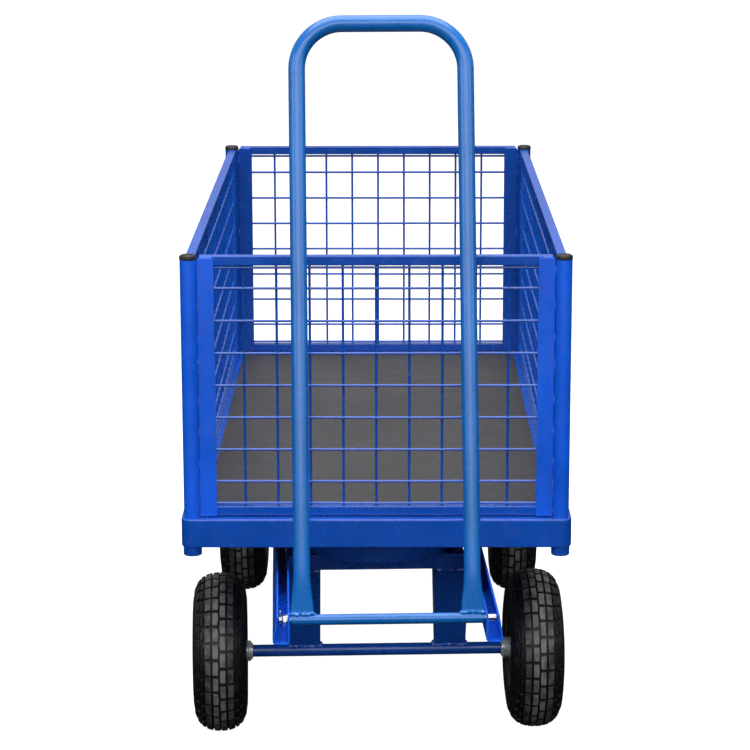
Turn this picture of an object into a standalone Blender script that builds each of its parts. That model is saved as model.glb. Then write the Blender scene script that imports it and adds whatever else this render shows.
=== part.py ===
"""Turntable platform truck with four mesh side panels and a tubular draw handle.

World axes: X across the truck, Y from the draw handle towards the rear, Z up, metres.
The origin lies on the ground under the middle of the resting truck.
Each moving body hangs from an empty that stands on its joint's axis.
"""

from math import cos, hypot, pi, radians, sin

import bmesh
import bpy
from mathutils import Matrix, Vector

GAP = 0.0003                        # clearance between pieces that touch

# Deck
FRAME_LENGTH = 1.210
FRAME_WIDTH = 0.603
FRAME_HEIGHT = 0.045
DECK_TOP = 0.419
FRAME_SHEET = 0.002                 # thickness of the folded edge profile
FRAME_CORNER = 0.017                # corner radius seen from above
FRAME_EDGE = 0.003                  # radius of the upper outer edge
TOP_FLANGE = 0.034
BOTTOM_FLANGE = 0.025
BOARD_THICKNESS = 0.012
CROSSMEMBER_WIDTH = 0.040
FRAME_BOTTOM = DECK_TOP - FRAME_HEIGHT

# Corner posts and their sockets
POST_DIAMETER = 0.025
POST_WALL = 0.002
POST_INSET = 0.0168                 # frame face to post centre
POST_TOP = 0.823
POST_BOTTOM = 0.364
CAP_TOP = 0.8305
SOCKET_DIAMETER = 0.0286
SOCKET_BORE = 0.026
SOCKET_BOTTOM = 0.359

# End panels: flat uprights on the outside, square tube behind them
UPRIGHT_WIDTH = 0.0252
UPRIGHT_OUTER = 0.2712              # half distance over the uprights
UPRIGHT_THICKNESS = 0.006
UPRIGHT_TOP = 0.825
RAIL = 0.015
PANEL_TOP = 0.828
PANEL_BOTTOM = DECK_TOP + 0.001
STILE = 0.012
STILE_INNER = 0.2465
LUG_HEIGHTS = (0.8035, 0.660, 0.446)
LUG_HEIGHT = 0.014

# Wire mesh
MESH_PITCH = 0.0505
MESH_MIDDLE = 0.6255
WIRE = 0.004

# Side panels
SIDE_RAIL_MIDDLE = 0.2835           # half distance between the side rails' middles
SIDE_TOP = 0.8235
SIDE_BRACE_SPACING = 0.360
SPIGOT_DIAMETER = 0.013
SPIGOT_BORE = 0.014
SPIGOT_LENGTH = 0.030
SPIGOT_SPACING = 0.800

# Wheels and axles
TYRE_RADIUS = 0.130
TYRE_WIDTH = 0.088
RIM_RADIUS = 0.0535
TRACK = 0.515
AXLE_DIAMETER = 0.020
AXLE_LENGTH = 0.585
FRONT_AXLE_INSET = 0.231            # frame face to the axle
REAR_AXLE_INSET = 0.226
HUB_OUTER_END = 0.2835
HUB_INNER_END = 0.2045

# Turntable and bogie
STEER_AT_REST = radians(2.3)
RING_OUTER = 0.125
RING_INNER = 0.095
BEAM_DEPTH = 0.026
BEAM_BOTTOM = 0.2895
BEAM_TOP = 0.3145
BEAM_REACH = 0.060                  # king pin to the middle of each beam
LEG_MIDDLE = 0.1195
LEG_WIDTH = 0.052
LEG_PLATE = 0.009
ARM_INNER = 0.1445                  # half distance between the arms
ARM_WIDTH = 0.0255
ARM_HEIGHT = 0.043
ARM_BOTTOM = 0.291
ARM_WALL = 0.003
ARM_LEAN = 0.006                    # how far the outer wall's top edge leans inwards
ARM_REACH = 0.4445                  # king pin to the arms' front ends
ARM_TAIL = 0.073

# Draw handle
PIVOT_REACH = 0.428                 # king pin to the pivot rod
PIVOT_HEIGHT = 0.324
HANDLE_LEAN = radians(16.0)
HANDLE_SPACING = 0.252
HANDLE_LENGTH = 0.8855              # pivot to the middle of the grip tube
HANDLE_TUBE = 0.025
HANDLE_BEND = 0.068
CROSS_TUBE = 0.016
PIVOT_ROD = 0.011

# The turned front corner of an arm is foremost, and the deck frame is rearmost.
REAR_REACH = FRAME_LENGTH - FRONT_AXLE_INSET
FRONT_REACH = ARM_REACH * cos(STEER_AT_REST) + (ARM_INNER + ARM_WIDTH) * sin(STEER_AT_REST)
KING_PIN_Y = (FRONT_REACH - REAR_REACH) / 2
FRAME_FRONT = KING_PIN_Y - FRONT_AXLE_INSET
FRAME_REAR = FRAME_FRONT + FRAME_LENGTH
DECK_MIDDLE = (FRAME_FRONT + FRAME_REAR) / 2
REAR_AXLE_Y = FRAME_REAR - REAR_AXLE_INSET
POST_X = FRAME_WIDTH / 2 - POST_INSET
POST_LINES = {"front": FRAME_FRONT + POST_INSET, "rear": FRAME_REAR - POST_INSET}
SIDES = {"left": -1, "right": 1}

MATERIALS = {
    # name: (sRGB colour, metallic, roughness)
    "blue_paint": ((0.04, 0.22, 0.68), 0.0, 0.42),
    "navy_paint": ((0.02, 0.11, 0.38), 0.0, 0.45),
    "handle_paint": ((0.07, 0.31, 0.72), 0.0, 0.38),
    "deck_coating": ((0.27, 0.26, 0.27), 0.0, 0.85),
    "rubber": ((0.06, 0.06, 0.06), 0.0, 0.80),
    "rim_paint": ((0.10, 0.10, 0.11), 0.0, 0.50),
    "zinc": ((0.72, 0.73, 0.74), 1.0, 0.35),
    "black_plastic": ((0.05, 0.05, 0.05), 0.0, 0.45),
}


# ---------------------------------------------------------------- helpers

def clear_scene():
    for item in list(bpy.data.objects):
        bpy.data.objects.remove(item, do_unlink=True)


def srgb_to_linear(value):
    return value / 12.92 if value <= 0.04045 else ((value + 0.055) / 1.055) ** 2.4


def paint(name, kind):
    """A Principled material for one sub-part."""
    colour, metallic, roughness = MATERIALS[kind]
    made = bpy.data.materials.new(name + "_material")
    made.use_nodes = True
    shader = made.node_tree.nodes["Principled BSDF"]
    shader.inputs["Base Color"].default_value = (*map(srgb_to_linear, colour), 1.0)
    shader.inputs["Metallic"].default_value = metallic
    shader.inputs["Roughness"].default_value = roughness
    made.diffuse_color = (*map(srgb_to_linear, colour), 1.0)
    return made


def empty(name, location, rotation=(0, 0, 0), parent=None):
    made = bpy.data.objects.new(name, None)
    made.location = location
    made.rotation_euler = rotation
    made.parent = parent
    bpy.context.scene.collection.objects.link(made)
    return made


def add_object(name, shape, kind, parent=None, location=(0, 0, 0), smooth=None):
    """An object from a bmesh, shaded smooth below the angle given."""
    bmesh.ops.recalc_face_normals(shape, faces=shape.faces)
    mesh = bpy.data.meshes.new(name)
    shape.to_mesh(mesh)
    shape.free()
    if smooth is not None:
        mesh.shade_smooth()
        mesh.set_sharp_from_angle(angle=radians(smooth))
    mesh.materials.append(paint(name, kind))
    made = bpy.data.objects.new(name, mesh)
    made.location = location
    made.parent = parent
    bpy.context.scene.collection.objects.link(made)
    return made


def add_block(shape, low, high):
    """A box between two corners."""
    size = Vector(high) - Vector(low)
    middle = (Vector(high) + Vector(low)) / 2
    matrix = Matrix.Translation(middle) @ Matrix.Diagonal((*size, 1.0))
    bmesh.ops.create_cube(shape, size=1.0, matrix=matrix)


def block(low, high):
    shape = bmesh.new()
    add_block(shape, low, high)
    return shape


def turned(profile, segments, axis="Z"):
    """A closed (radius, height) outline turned about Z, or laid along X."""
    shape = bmesh.new()
    verts = [shape.verts.new((radius, 0, height)) for radius, height in profile]
    edges = [shape.edges.new((a, b)) for a, b in zip(verts, verts[1:] + verts[:1])]
    bmesh.ops.spin(shape, geom=verts + edges, cent=(0, 0, 0), axis=(0, 0, 1),
                   angle=2 * pi, steps=segments, use_merge=True)
    bmesh.ops.remove_doubles(shape, verts=shape.verts, dist=1e-6)
    on_axis = [edge for edge in shape.edges if all(hypot(*v.co.xy) < 1e-6 for v in edge.verts)]
    bmesh.ops.delete(shape, geom=on_axis, context="EDGES")
    if axis == "X":
        bmesh.ops.transform(shape, matrix=Matrix.Rotation(pi / 2, 4, "Y"), verts=shape.verts)
    return shape


def tube_profile(outer, inner, low, high):
    return [(outer, low), (outer, high), (inner, high), (inner, low)]


def rod_profile(radius, low, high, chamfer=0.0):
    points = [(0, low), (radius - chamfer, low)]
    if chamfer:
        points += [(radius, low + chamfer), (radius, high - chamfer)]
    return points + [(radius - chamfer, high), (0, high)]


def extruded(outline, start, end, axis):
    """A closed outline pushed along X or Y. An outline holds (Y, Z) or (X, Z) points."""
    shape = bmesh.new()
    if axis == "X":
        verts = [shape.verts.new((start, a, b)) for a, b in outline]
        step = (end - start, 0, 0)
    else:
        verts = [shape.verts.new((a, start, b)) for a, b in outline]
        step = (0, end - start, 0)
    face = shape.faces.new(verts)
    pushed = bmesh.ops.extrude_face_region(shape, geom=[face])
    moved = [item for item in pushed["geom"] if isinstance(item, bmesh.types.BMVert)]
    bmesh.ops.translate(shape, verts=moved, vec=step)
    return shape


def swept_ring(profile, half_x, half_y, corner, steps=5):
    """An (inset, height) profile carried round a rectangle with round corners."""
    shape = bmesh.new()
    quarters = ((1, 1, 0), (-1, 1, 1), (-1, -1, 2), (1, -1, 3))
    rings = []
    for inset, height in profile:
        radius = max(corner - inset, 0.0)
        set_in = max(corner, inset)
        ring = []
        for sign_x, sign_y, quarter in quarters:
            for step in range(steps + 1):
                angle = (quarter + step / steps) * pi / 2
                x = sign_x * (half_x - set_in) + radius * cos(angle)
                y = sign_y * (half_y - set_in) + radius * sin(angle)
                ring.append(shape.verts.new((x, y, height)))
        rings.append(ring)
    count = len(rings[0])
    for ring, above in zip(rings, rings[1:] + rings[:1]):
        for index in range(count):
            after = (index + 1) % count
            shape.faces.new((ring[index], ring[after], above[after], above[index]))
    bmesh.ops.remove_doubles(shape, verts=shape.verts, dist=1e-6)
    return shape


def join_with(target, name, shape, operation):
    """A Boolean with a hidden helper that shares the target's parent."""
    bmesh.ops.recalc_face_normals(shape, faces=shape.faces)
    mesh = bpy.data.meshes.new(name)
    shape.to_mesh(mesh)
    shape.free()
    helper = bpy.data.objects.new(name, mesh)
    helper.parent = target.parent
    helper.location = target.location
    helper.hide_render = True
    helper.display_type = "WIRE"
    bpy.context.scene.collection.objects.link(helper)
    modifier = target.modifiers.new(name, "BOOLEAN")
    modifier.operation = operation
    modifier.solver = "EXACT"
    modifier.object = helper


def add_cylinder(shape, radius, low, high, middle, axis="Z", segments=16):
    """A cylinder along Z at (x, y), or along X at (y, z)."""
    if axis == "Z":
        place = Matrix.Translation((middle[0], middle[1], (low + high) / 2))
    else:
        place = Matrix.Translation(((low + high) / 2, middle[0], middle[1]))
        place = place @ Matrix.Rotation(pi / 2, 4, "Y")
    bmesh.ops.create_cone(shape, cap_ends=True, segments=segments, radius1=radius,
                          radius2=radius, depth=high - low, matrix=place)


# ---------------------------------------------------------------- deck

def build_deck_frame():
    low, high, sheet = FRAME_BOTTOM, DECK_TOP, FRAME_SHEET
    edge = [
        (FRAME_EDGE * (1 - cos(angle)), high - FRAME_EDGE * (1 - sin(angle)))
        for angle in (0, pi / 6, pi / 3, pi / 2)
    ]
    profile = [(sheet, low), (0.0007, low + 0.0007), *edge, (TOP_FLANGE, high)]
    profile += [(TOP_FLANGE, high - sheet), (sheet, high - sheet), (sheet, low + sheet)]
    profile += [(BOTTOM_FLANGE, low + sheet), (BOTTOM_FLANGE, low)]
    shape = swept_ring(profile, FRAME_WIDTH / 2, FRAME_LENGTH / 2, FRAME_CORNER)
    frame = add_object("deck_frame", shape, "blue_paint", location=(0, DECK_MIDDLE, 0), smooth=30)
    holes = bmesh.new()
    post_y = FRAME_LENGTH / 2 - POST_INSET
    for sign in SIDES.values():
        for end in (-1, 1):
            post = (sign * POST_X, end * post_y)
            spigot = (sign * SIDE_RAIL_MIDDLE, end * SPIGOT_SPACING / 2)
            add_cylinder(holes, SOCKET_DIAMETER / 2 + GAP, low - 0.01, low + 0.01, post)
            add_cylinder(holes, SOCKET_BORE / 2, high - 0.01, high + 0.01, post)
            add_cylinder(holes, SPIGOT_BORE / 2, high - 0.01, high + 0.01, spigot, segments=12)
    join_with(frame, "deck_frame_holes", holes, "DIFFERENCE")


def build_deck_board():
    inset = TOP_FLANGE + GAP
    half_x = FRAME_WIDTH / 2 - inset
    half_y = FRAME_LENGTH / 2 - inset
    shape = block((-half_x, -half_y, DECK_TOP - BOARD_THICKNESS), (half_x, half_y, DECK_TOP))
    add_object("deck_board", shape, "deck_coating", location=(0, DECK_MIDDLE, 0))


def build_crossmembers():
    """Channels that lie on the frame's lower flange and carry the board."""
    low = FRAME_BOTTOM + FRAME_SHEET + GAP
    high = DECK_TOP - BOARD_THICKNESS - GAP
    half, web = CROSSMEMBER_WIDTH / 2, FRAME_SHEET
    outline = [(-half, low), (half, low), (half, high), (half - web, high), (half - web, low + web)]
    outline += [(web - half, low + web), (web - half, high), (-half, high)]
    reach = FRAME_WIDTH / 2 - FRAME_SHEET - GAP
    for axle, middle in (("front", KING_PIN_Y), ("rear", REAR_AXLE_Y)):
        for number, sign in ((1, -1), (2, 1)):
            shape = extruded(outline, -reach, reach, "X")
            place = (0, middle + sign * RING_INNER, 0)
            add_object(f"crossmember_{axle}_{number}", shape, "navy_paint", location=place)


def build_sockets():
    top = DECK_TOP - FRAME_SHEET - GAP
    profile = tube_profile(SOCKET_DIAMETER / 2, SOCKET_BORE / 2, SOCKET_BOTTOM, top)
    for end, line in POST_LINES.items():
        for side, sign in SIDES.items():
            place = (sign * POST_X, line, 0)
            name = f"socket_{end}_{side}"
            add_object(name, turned(profile, 16), "navy_paint", location=place, smooth=40)


# ---------------------------------------------------------------- wheels and axles

def leg_outline(reach, top):
    """A flat bar bent to a V, seen from the side, whose tip stands on the axle."""
    tip = TYRE_RADIUS + AXLE_DIAMETER / 2 + GAP
    rise = top - tip
    flat = 0.007
    slope = (reach - flat) / rise
    across = LEG_PLATE * hypot(1.0, slope)
    notch = tip + (flat + across - LEG_PLATE) / slope + LEG_PLATE
    return [(-flat, tip), (flat, tip), (reach, top), (reach - across, top),
            (0.0, notch), (across - reach, top), (-reach, top)]


def build_legs(prefix, parent, location, reach, top):
    for side, sign in SIDES.items():
        middle = sign * LEG_MIDDLE
        start, end = middle - LEG_WIDTH / 2, middle + LEG_WIDTH / 2
        shape = extruded(leg_outline(reach, top), start, end, "X")
        name = f"{prefix}_leg_{side}"
        add_object(name, shape, "navy_paint", parent=parent, location=location)


def build_axle(name, parent, location):
    half = AXLE_LENGTH / 2
    shape = turned(rod_profile(AXLE_DIAMETER / 2, -half, half, 0.001), 16, "X")
    add_object(name, shape, "navy_paint", parent=parent, location=location, smooth=40)


def tyre_profile():
    """Half of the section above the rim, mirrored: bead, wall, shoulder and tread."""
    half = TYRE_WIDTH / 2
    bead = RIM_RADIUS + GAP
    side = [(bead, 0.026), (0.064, 0.037), (0.082, half), (0.101, half - 0.001)]
    side += [(0.117, 0.036), (0.126, 0.022), (TYRE_RADIUS, 0.0)]
    return side + [(radius, -across) for radius, across in reversed(side[:-1])]


def rim_profile():
    """A dished steel rim: a bead seat, two flanges and a disc that grips the hub."""
    seat, flange, bore = RIM_RADIUS, RIM_RADIUS + 0.008, 0.0175 + GAP
    return [(bore, -0.004), (0.034, -0.004), (0.042, -0.012), (0.046, -0.032), (flange, -0.040),
            (flange + 0.001, -0.0375), (seat, -0.0265), (seat, 0.0265), (flange + 0.001, 0.0375),
            (flange, 0.040), (0.048, 0.032), (0.046, 0.000), (0.036, 0.004), (bore, 0.004)]


def hub_profile(sign):
    """A bearing tube with a ringed collar on the side that faces the bogie."""
    middle = TRACK / 2
    bore = AXLE_DIAMETER / 2 + GAP
    inner, outer = HUB_INNER_END - middle, HUB_OUTER_END - middle
    points = [(bore, inner), (0.014, inner), (0.014, inner + 0.004), (0.0175, inner + 0.005),
              (0.0175, outer - 0.002), (0.0155, outer), (bore, outer)]
    return [(radius, sign * across) for radius, across in points]


def cap_profile(sign):
    """A push-on cap over the axle's end."""
    middle = TRACK / 2
    start, end = HUB_OUTER_END + GAP - middle, AXLE_LENGTH / 2 + 0.004 - middle
    bore = AXLE_DIAMETER / 2 + GAP
    roof = AXLE_LENGTH / 2 + GAP - middle
    points = [(bore, start), (0.013, start), (0.0125, end - 0.002), (0.010, end)]
    points += [(0.0, end), (0.0, roof), (bore, roof)]
    return [(radius, sign * across) for radius, across in points]


def build_wheel(corner, sign, parent, location):
    """A wheel on an empty whose X axis is the axle."""
    pivot = empty(f"{corner}_wheel_pivot", location, parent=parent)
    # A turned shape laid along X has its profile's heights along +X.
    pieces = (
        ("tyre", tyre_profile(), 24, "rubber"),
        ("rim", [(radius, sign * across) for radius, across in rim_profile()], 24, "rim_paint"),
        ("hub", hub_profile(sign), 16, "zinc"),
        ("axle_cap", cap_profile(sign), 16, "black_plastic"),
    )
    for name, profile, segments, kind in pieces:
        shape = turned(profile, segments, "X")
        add_object(f"{corner}_{name}", shape, kind, parent=pivot, smooth=35)


def build_wheel_pair(end, parent, middle_y):
    for side, sign in SIDES.items():
        place = (sign * TRACK / 2, middle_y, TYRE_RADIUS)
        build_wheel(f"{end}_{side}", sign, parent, place)


def build_rear_axle():
    top = FRAME_BOTTOM + FRAME_SHEET
    build_axle("rear_axle", None, (0, REAR_AXLE_Y, TYRE_RADIUS))
    reach = RING_INNER + CROSSMEMBER_WIDTH / 2
    build_legs("rear", None, (0, REAR_AXLE_Y, 0), reach, top)
    build_wheel_pair("rear", None, REAR_AXLE_Y)


# ---------------------------------------------------------------- turntable and bogie

def build_turntable(bogie):
    plate_top = FRAME_BOTTOM + FRAME_SHEET
    plate_bottom = plate_top - 0.006
    upper_top = plate_bottom - GAP
    lower_bottom = BEAM_TOP + GAP
    middle = (upper_top + lower_bottom) / 2
    place = (0, KING_PIN_Y, 0)
    reach = RING_INNER + CROSSMEMBER_WIDTH / 2
    plate = block((-0.130, -reach, plate_bottom), (0.130, reach, plate_top))
    plate = add_object("turntable_plate", plate, "navy_paint", location=place)
    hole = bmesh.new()
    add_cylinder(hole, 0.0085, plate_bottom - 0.01, plate_top + 0.01, (0, 0))
    join_with(plate, "turntable_plate_hole", hole, "DIFFERENCE")
    lip = 0.008
    upper = [(RING_INNER, upper_top), (RING_OUTER, upper_top), (RING_OUTER, middle + 0.001),
             (RING_OUTER - lip, middle + 0.001), (RING_OUTER - lip, upper_top - lip),
             (RING_INNER, upper_top - lip)]
    lower = [(RING_INNER, lower_bottom), (RING_OUTER, lower_bottom), (RING_OUTER, middle - 0.001),
             (RING_OUTER - lip, middle - 0.001), (RING_OUTER - lip, lower_bottom + lip),
             (RING_INNER, lower_bottom + lip)]
    upper = turned(upper, 32)
    add_object("turntable_upper_ring", upper, "navy_paint", location=place, smooth=35)
    add_object("turntable_lower_ring", turned(lower, 32), "navy_paint", parent=bogie, smooth=35)
    return plate_top


def build_king_bolt(bogie, plate_top):
    """The bolt stands on a plate that the beams carry, inside the rings."""
    head = plate_top + GAP
    foot = BEAM_TOP + GAP
    half = RING_INNER - 0.004
    profile = [(0.0, foot), (half, foot), (half, foot + 0.005), (0.008, foot + 0.005),
               (0.008, head), (0.013, head), (0.013, head + 0.008), (0.0, head + 0.008)]
    add_object("king_bolt", turned(profile, 20), "zinc", parent=bogie, smooth=35)


def build_beams(bogie):
    half = ARM_INNER - GAP
    for name, sign in (("front", -1), ("rear", 1)):
        near = sign * BEAM_REACH - BEAM_DEPTH / 2
        shape = block((-half, near, BEAM_BOTTOM), (half, near + BEAM_DEPTH, BEAM_TOP))
        add_object(f"bogie_beam_{name}", shape, "navy_paint", parent=bogie)


def build_arms(bogie):
    """Channels, open at the top, that run from the rear beam to the pivot rod."""
    low, high, wall = ARM_BOTTOM, ARM_BOTTOM + ARM_HEIGHT, ARM_WALL
    fold = 0.005
    for side, sign in SIDES.items():
        near, far = ARM_INNER, ARM_INNER + ARM_WIDTH
        outline = [(near, high), (near, low + fold), (near + fold, low), (far - fold, low)]
        outline += [(far, low + fold), (far - ARM_LEAN, high), (far - ARM_LEAN - wall, high)]
        outline += [(far - wall, low + fold)]
        outline += [(far - fold, low + wall), (near + fold, low + wall)]
        outline += [(near + wall, low + fold), (near + wall, high)]
        outline = [(sign * x, z) for x, z in outline]
        shape = extruded(outline, -ARM_REACH, ARM_TAIL, "Y")
        arm = add_object(f"draw_arm_{side}", shape, "blue_paint", parent=bogie)
        hole = bmesh.new()
        start, end = sorted((sign * (near - 0.003), sign * (near + wall + 0.003)))
        middle = (-PIVOT_REACH, PIVOT_HEIGHT)
        add_cylinder(hole, PIVOT_ROD / 2 + GAP, start, end, middle, axis="X", segments=12)
        join_with(arm, f"draw_arm_{side}_hole", hole, "DIFFERENCE")


def build_pivot_rod(bogie):
    """A round rod through both inner arm walls, kept by a nut in the left arm."""
    half = ARM_INNER + 0.017
    place = (0, -PIVOT_REACH, PIVOT_HEIGHT)
    shape = turned(rod_profile(PIVOT_ROD / 2, -half, half, 0.001), 12, "X")
    add_object("pivot_rod", shape, "zinc", parent=bogie, location=place, smooth=40)
    start = -(ARM_INNER + ARM_WALL + GAP)
    profile = tube_profile(0.0088, PIVOT_ROD / 2 + GAP, start, start - 0.008)
    add_object("pivot_nut", turned(profile, 12, "X"), "zinc", parent=bogie, location=place)


def build_bogie():
    bogie = empty("bogie_pivot", (0, KING_PIN_Y, 0), (0, 0, STEER_AT_REST))
    plate_top = build_turntable(bogie)
    build_king_bolt(bogie, plate_top)
    build_beams(bogie)
    build_legs("bogie", bogie, (0, 0, 0), BEAM_REACH + BEAM_DEPTH / 2, BEAM_BOTTOM - GAP)
    build_arms(bogie)
    build_pivot_rod(bogie)
    build_axle("front_axle", bogie, (0, 0, TYRE_RADIUS))
    build_wheel_pair("front", bogie, 0.0)
    return bogie


# ---------------------------------------------------------------- draw handle

def handle_path():
    """Points of the U, from one foot over the grip to the other foot."""
    half, bend = HANDLE_SPACING / 2, HANDLE_BEND
    foot = CROSS_TUBE / 2 + GAP
    turn = [radians(90 * step / 7) for step in range(8)]
    left = [(-half, 0, foot)]
    left += [
        (-half + bend * (1 - cos(angle)), 0, HANDLE_LENGTH - bend * (1 - sin(angle)))
        for angle in turn
    ]
    return left + [(-x, y, z) for x, y, z in reversed(left)]


def build_handle(bogie):
    place = (0, -PIVOT_REACH, PIVOT_HEIGHT)
    pivot = empty("handle_pivot", place, (-HANDLE_LEAN, 0, 0), parent=bogie)
    curve = bpy.data.curves.new("draw_handle", "CURVE")
    curve.dimensions = "3D"
    curve.bevel_depth = HANDLE_TUBE / 2
    curve.bevel_resolution = 4
    curve.use_fill_caps = True
    points = handle_path()
    spline = curve.splines.new("POLY")
    spline.points.add(len(points) - 1)
    for point, place in zip(spline.points, points):
        point.co = (*place, 1.0)
    curve.materials.append(paint("draw_handle", "handle_paint"))
    tube = bpy.data.objects.new("draw_handle", curve)
    tube.parent = pivot
    bpy.context.scene.collection.objects.link(tube)
    half = ARM_INNER - 0.001
    profile = tube_profile(CROSS_TUBE / 2, PIVOT_ROD / 2 + GAP, -half, half)
    add_object("handle_cross_tube", turned(profile, 16, "X"), "handle_paint", pivot, smooth=40)


# ---------------------------------------------------------------- mesh panels

def wire_stripes(middles, low, high):
    """Edges of the stripes that the wires fill, with the ends of the sheet."""
    stripes = []
    for middle in middles:
        stripes += [middle - WIRE / 2, middle + WIRE / 2]
    return sorted({low, high, *stripes})


def lattice(uprights, levels, low, high, axis):
    """A flat sheet of crossing wires, cut out as a grid of cells and thickened."""
    across = wire_stripes(uprights, low[0], high[0])
    along = wire_stripes(levels, low[1], high[1])

    def filled(start, end, middles):
        return any(abs((start + end) / 2 - middle) < WIRE / 2 for middle in middles)

    shape = bmesh.new()
    corner = {}
    for i, a in enumerate(across):
        for j, b in enumerate(along):
            point = (a, -WIRE / 2, b) if axis == "X" else (-WIRE / 2, a, b)
            corner[i, j] = shape.verts.new(point)
    for i in range(len(across) - 1):
        for j in range(len(along) - 1):
            upright = filled(across[i], across[i + 1], uprights)
            level = filled(along[j], along[j + 1], levels)
            if upright or level:
                ring = (corner[i, j], corner[i + 1, j], corner[i + 1, j + 1], corner[i, j + 1])
                shape.faces.new(ring)
    loose = [vert for vert in shape.verts if not vert.link_faces]
    bmesh.ops.delete(shape, geom=loose, context="VERTS")
    pushed = bmesh.ops.extrude_face_region(shape, geom=shape.faces[:])
    moved = [item for item in pushed["geom"] if isinstance(item, bmesh.types.BMVert)]
    step = (0, WIRE, 0) if axis == "X" else (WIRE, 0, 0)
    bmesh.ops.translate(shape, verts=moved, vec=step)
    return shape


def evenly(middle, pitch, count):
    return [middle + (step - (count - 1) / 2) * pitch for step in range(count)]


def build_gate(end, line):
    """An end panel welded to two posts that drop into the corner sockets."""
    gate = empty(f"{end}_gate_slide", (0, line, 0))
    rail_front, rail_back = 0.001, 0.001 + RAIL
    reach = UPRIGHT_OUTER - 0.003
    levels = {"bottom": PANEL_BOTTOM, "top": PANEL_TOP - RAIL}
    shape = bmesh.new()
    for low in levels.values():
        add_block(shape, (-reach, rail_front, low), (reach, rail_back, low + RAIL))
    frame = add_object(f"{end}_gate_frame", shape, "blue_paint", parent=gate)
    stiles = bmesh.new()
    uprights = bmesh.new()
    for sign in SIDES.values():
        near, far = sorted((sign * STILE_INNER, sign * (STILE_INNER + STILE)))
        low, high = levels["bottom"] + RAIL - 0.002, levels["top"] + 0.002
        add_block(stiles, (near, rail_front + 0.002, low), (far, rail_back - 0.001, high))
        near, far = sorted((sign * (UPRIGHT_OUTER - UPRIGHT_WIDTH), sign * UPRIGHT_OUTER))
        back = rail_front + 0.003
        front = back - UPRIGHT_THICKNESS
        add_block(uprights, (near, front, PANEL_BOTTOM + 0.0005), (far, back, UPRIGHT_TOP))
    join_with(frame, f"{end}_gate_stiles", stiles, "UNION")
    join_with(frame, f"{end}_gate_uprights", uprights, "UNION")
    lugs = bmesh.new()
    for sign in SIDES.values():
        inner, outer = UPRIGHT_OUTER - 0.002, POST_X - POST_DIAMETER / 2 - GAP
        near, far = sorted((sign * inner, sign * outer))
        for height in LUG_HEIGHTS:
            low, high = height - LUG_HEIGHT / 2, height + LUG_HEIGHT / 2
            add_block(lugs, (near, -0.001, low), (far, 0.003, high))
    join_with(frame, f"{end}_gate_lugs", lugs, "UNION")
    build_end_mesh(end, gate, (rail_front + rail_back) / 2, levels)
    build_posts(end, gate)


def build_end_mesh(end, gate, depth, levels):
    low = (-STILE_INNER + GAP, levels["bottom"] + RAIL + GAP)
    high = (STILE_INNER - GAP, levels["top"] - GAP)
    heights = evenly(MESH_MIDDLE, MESH_PITCH, 7)
    heights = [low[1] + WIRE / 2, *heights, high[1] - WIRE / 2]
    shape = lattice(evenly(0.0, MESH_PITCH, 9), heights, low, high, "X")
    add_object(f"{end}_gate_mesh", shape, "blue_paint", parent=gate, location=(0, depth, 0))


def build_posts(end, gate):
    radius = POST_DIAMETER / 2
    post = tube_profile(radius, radius - POST_WALL, POST_BOTTOM, POST_TOP)
    plug = radius - POST_WALL - GAP
    rim = POST_TOP + GAP
    cap = [(0.0, rim), (0.0, CAP_TOP), (radius - 0.003, CAP_TOP), (radius, CAP_TOP - 0.002),
           (radius + 0.0005, rim + 0.001), (radius + 0.0005, rim), (plug, rim),
           (plug, POST_TOP - 0.012), (plug - 0.002, POST_TOP - 0.012), (plug - 0.002, rim)]
    for side, sign in SIDES.items():
        place = (sign * POST_X, 0, 0)
        name = f"{end}_{side}"
        add_object(f"{name}_post", turned(post, 16), "blue_paint", gate, place, smooth=40)
        add_object(f"{name}_cap", turned(cap, 16), "black_plastic", gate, place, smooth=40)


def build_side(side, sign):
    """A side panel between the posts, held by two spigots in the deck frame."""
    panel = empty(f"{side}_side_slide", (sign * SIDE_RAIL_MIDDLE, DECK_MIDDLE, 0))
    half = RAIL / 2
    reach = FRAME_LENGTH / 2 - POST_INSET - POST_DIAMETER / 2 - 0.001
    levels = {"bottom": PANEL_BOTTOM, "top": SIDE_TOP - RAIL}
    shape = bmesh.new()
    for low in levels.values():
        add_block(shape, (-half, -reach, low), (half, reach, low + RAIL))
    frame = add_object(f"{side}_side_frame", shape, "blue_paint", parent=panel)
    stiles = bmesh.new()
    low, high = levels["bottom"] + RAIL - 0.002, levels["top"] + 0.002
    for end in (-1, 1):
        near, far = sorted((end * (reach - 0.001), end * (reach - 0.001 - RAIL)))
        add_block(stiles, (0.001 - half, near, low), (half - 0.001, far, high))
        outside = sorted((sign * (half - 0.001), sign * (half - 0.005)))
        brace = end * SIDE_BRACE_SPACING / 2
        start = (outside[0], brace - 0.008, low)
        add_block(stiles, start, (outside[1], brace + 0.008, high))
    join_with(frame, f"{side}_side_stiles", stiles, "UNION")
    spigots = bmesh.new()
    for end in (-1, 1):
        middle = (0, end * SPIGOT_SPACING / 2)
        foot = PANEL_BOTTOM - SPIGOT_LENGTH
        top = PANEL_BOTTOM + 0.004
        add_cylinder(spigots, SPIGOT_DIAMETER / 2, foot, top, middle, segments=12)
    join_with(frame, f"{side}_side_spigots", spigots, "UNION")
    low = (-reach + RAIL + 0.001 + GAP, levels["bottom"] + RAIL + GAP)
    high = (-low[0], levels["top"] - GAP)
    heights = evenly(MESH_MIDDLE, 2 * MESH_PITCH, 4)
    heights = [low[1] + WIRE / 2, *heights, high[1] - WIRE / 2]
    shape = lattice(evenly(0.0, 2 * MESH_PITCH, 11), heights, low, high, "Y")
    name = f"{side}_side_mesh"
    inward = (-sign * 0.002, 0, 0)
    add_object(name, shape, "blue_paint", parent=panel, location=inward)


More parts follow.
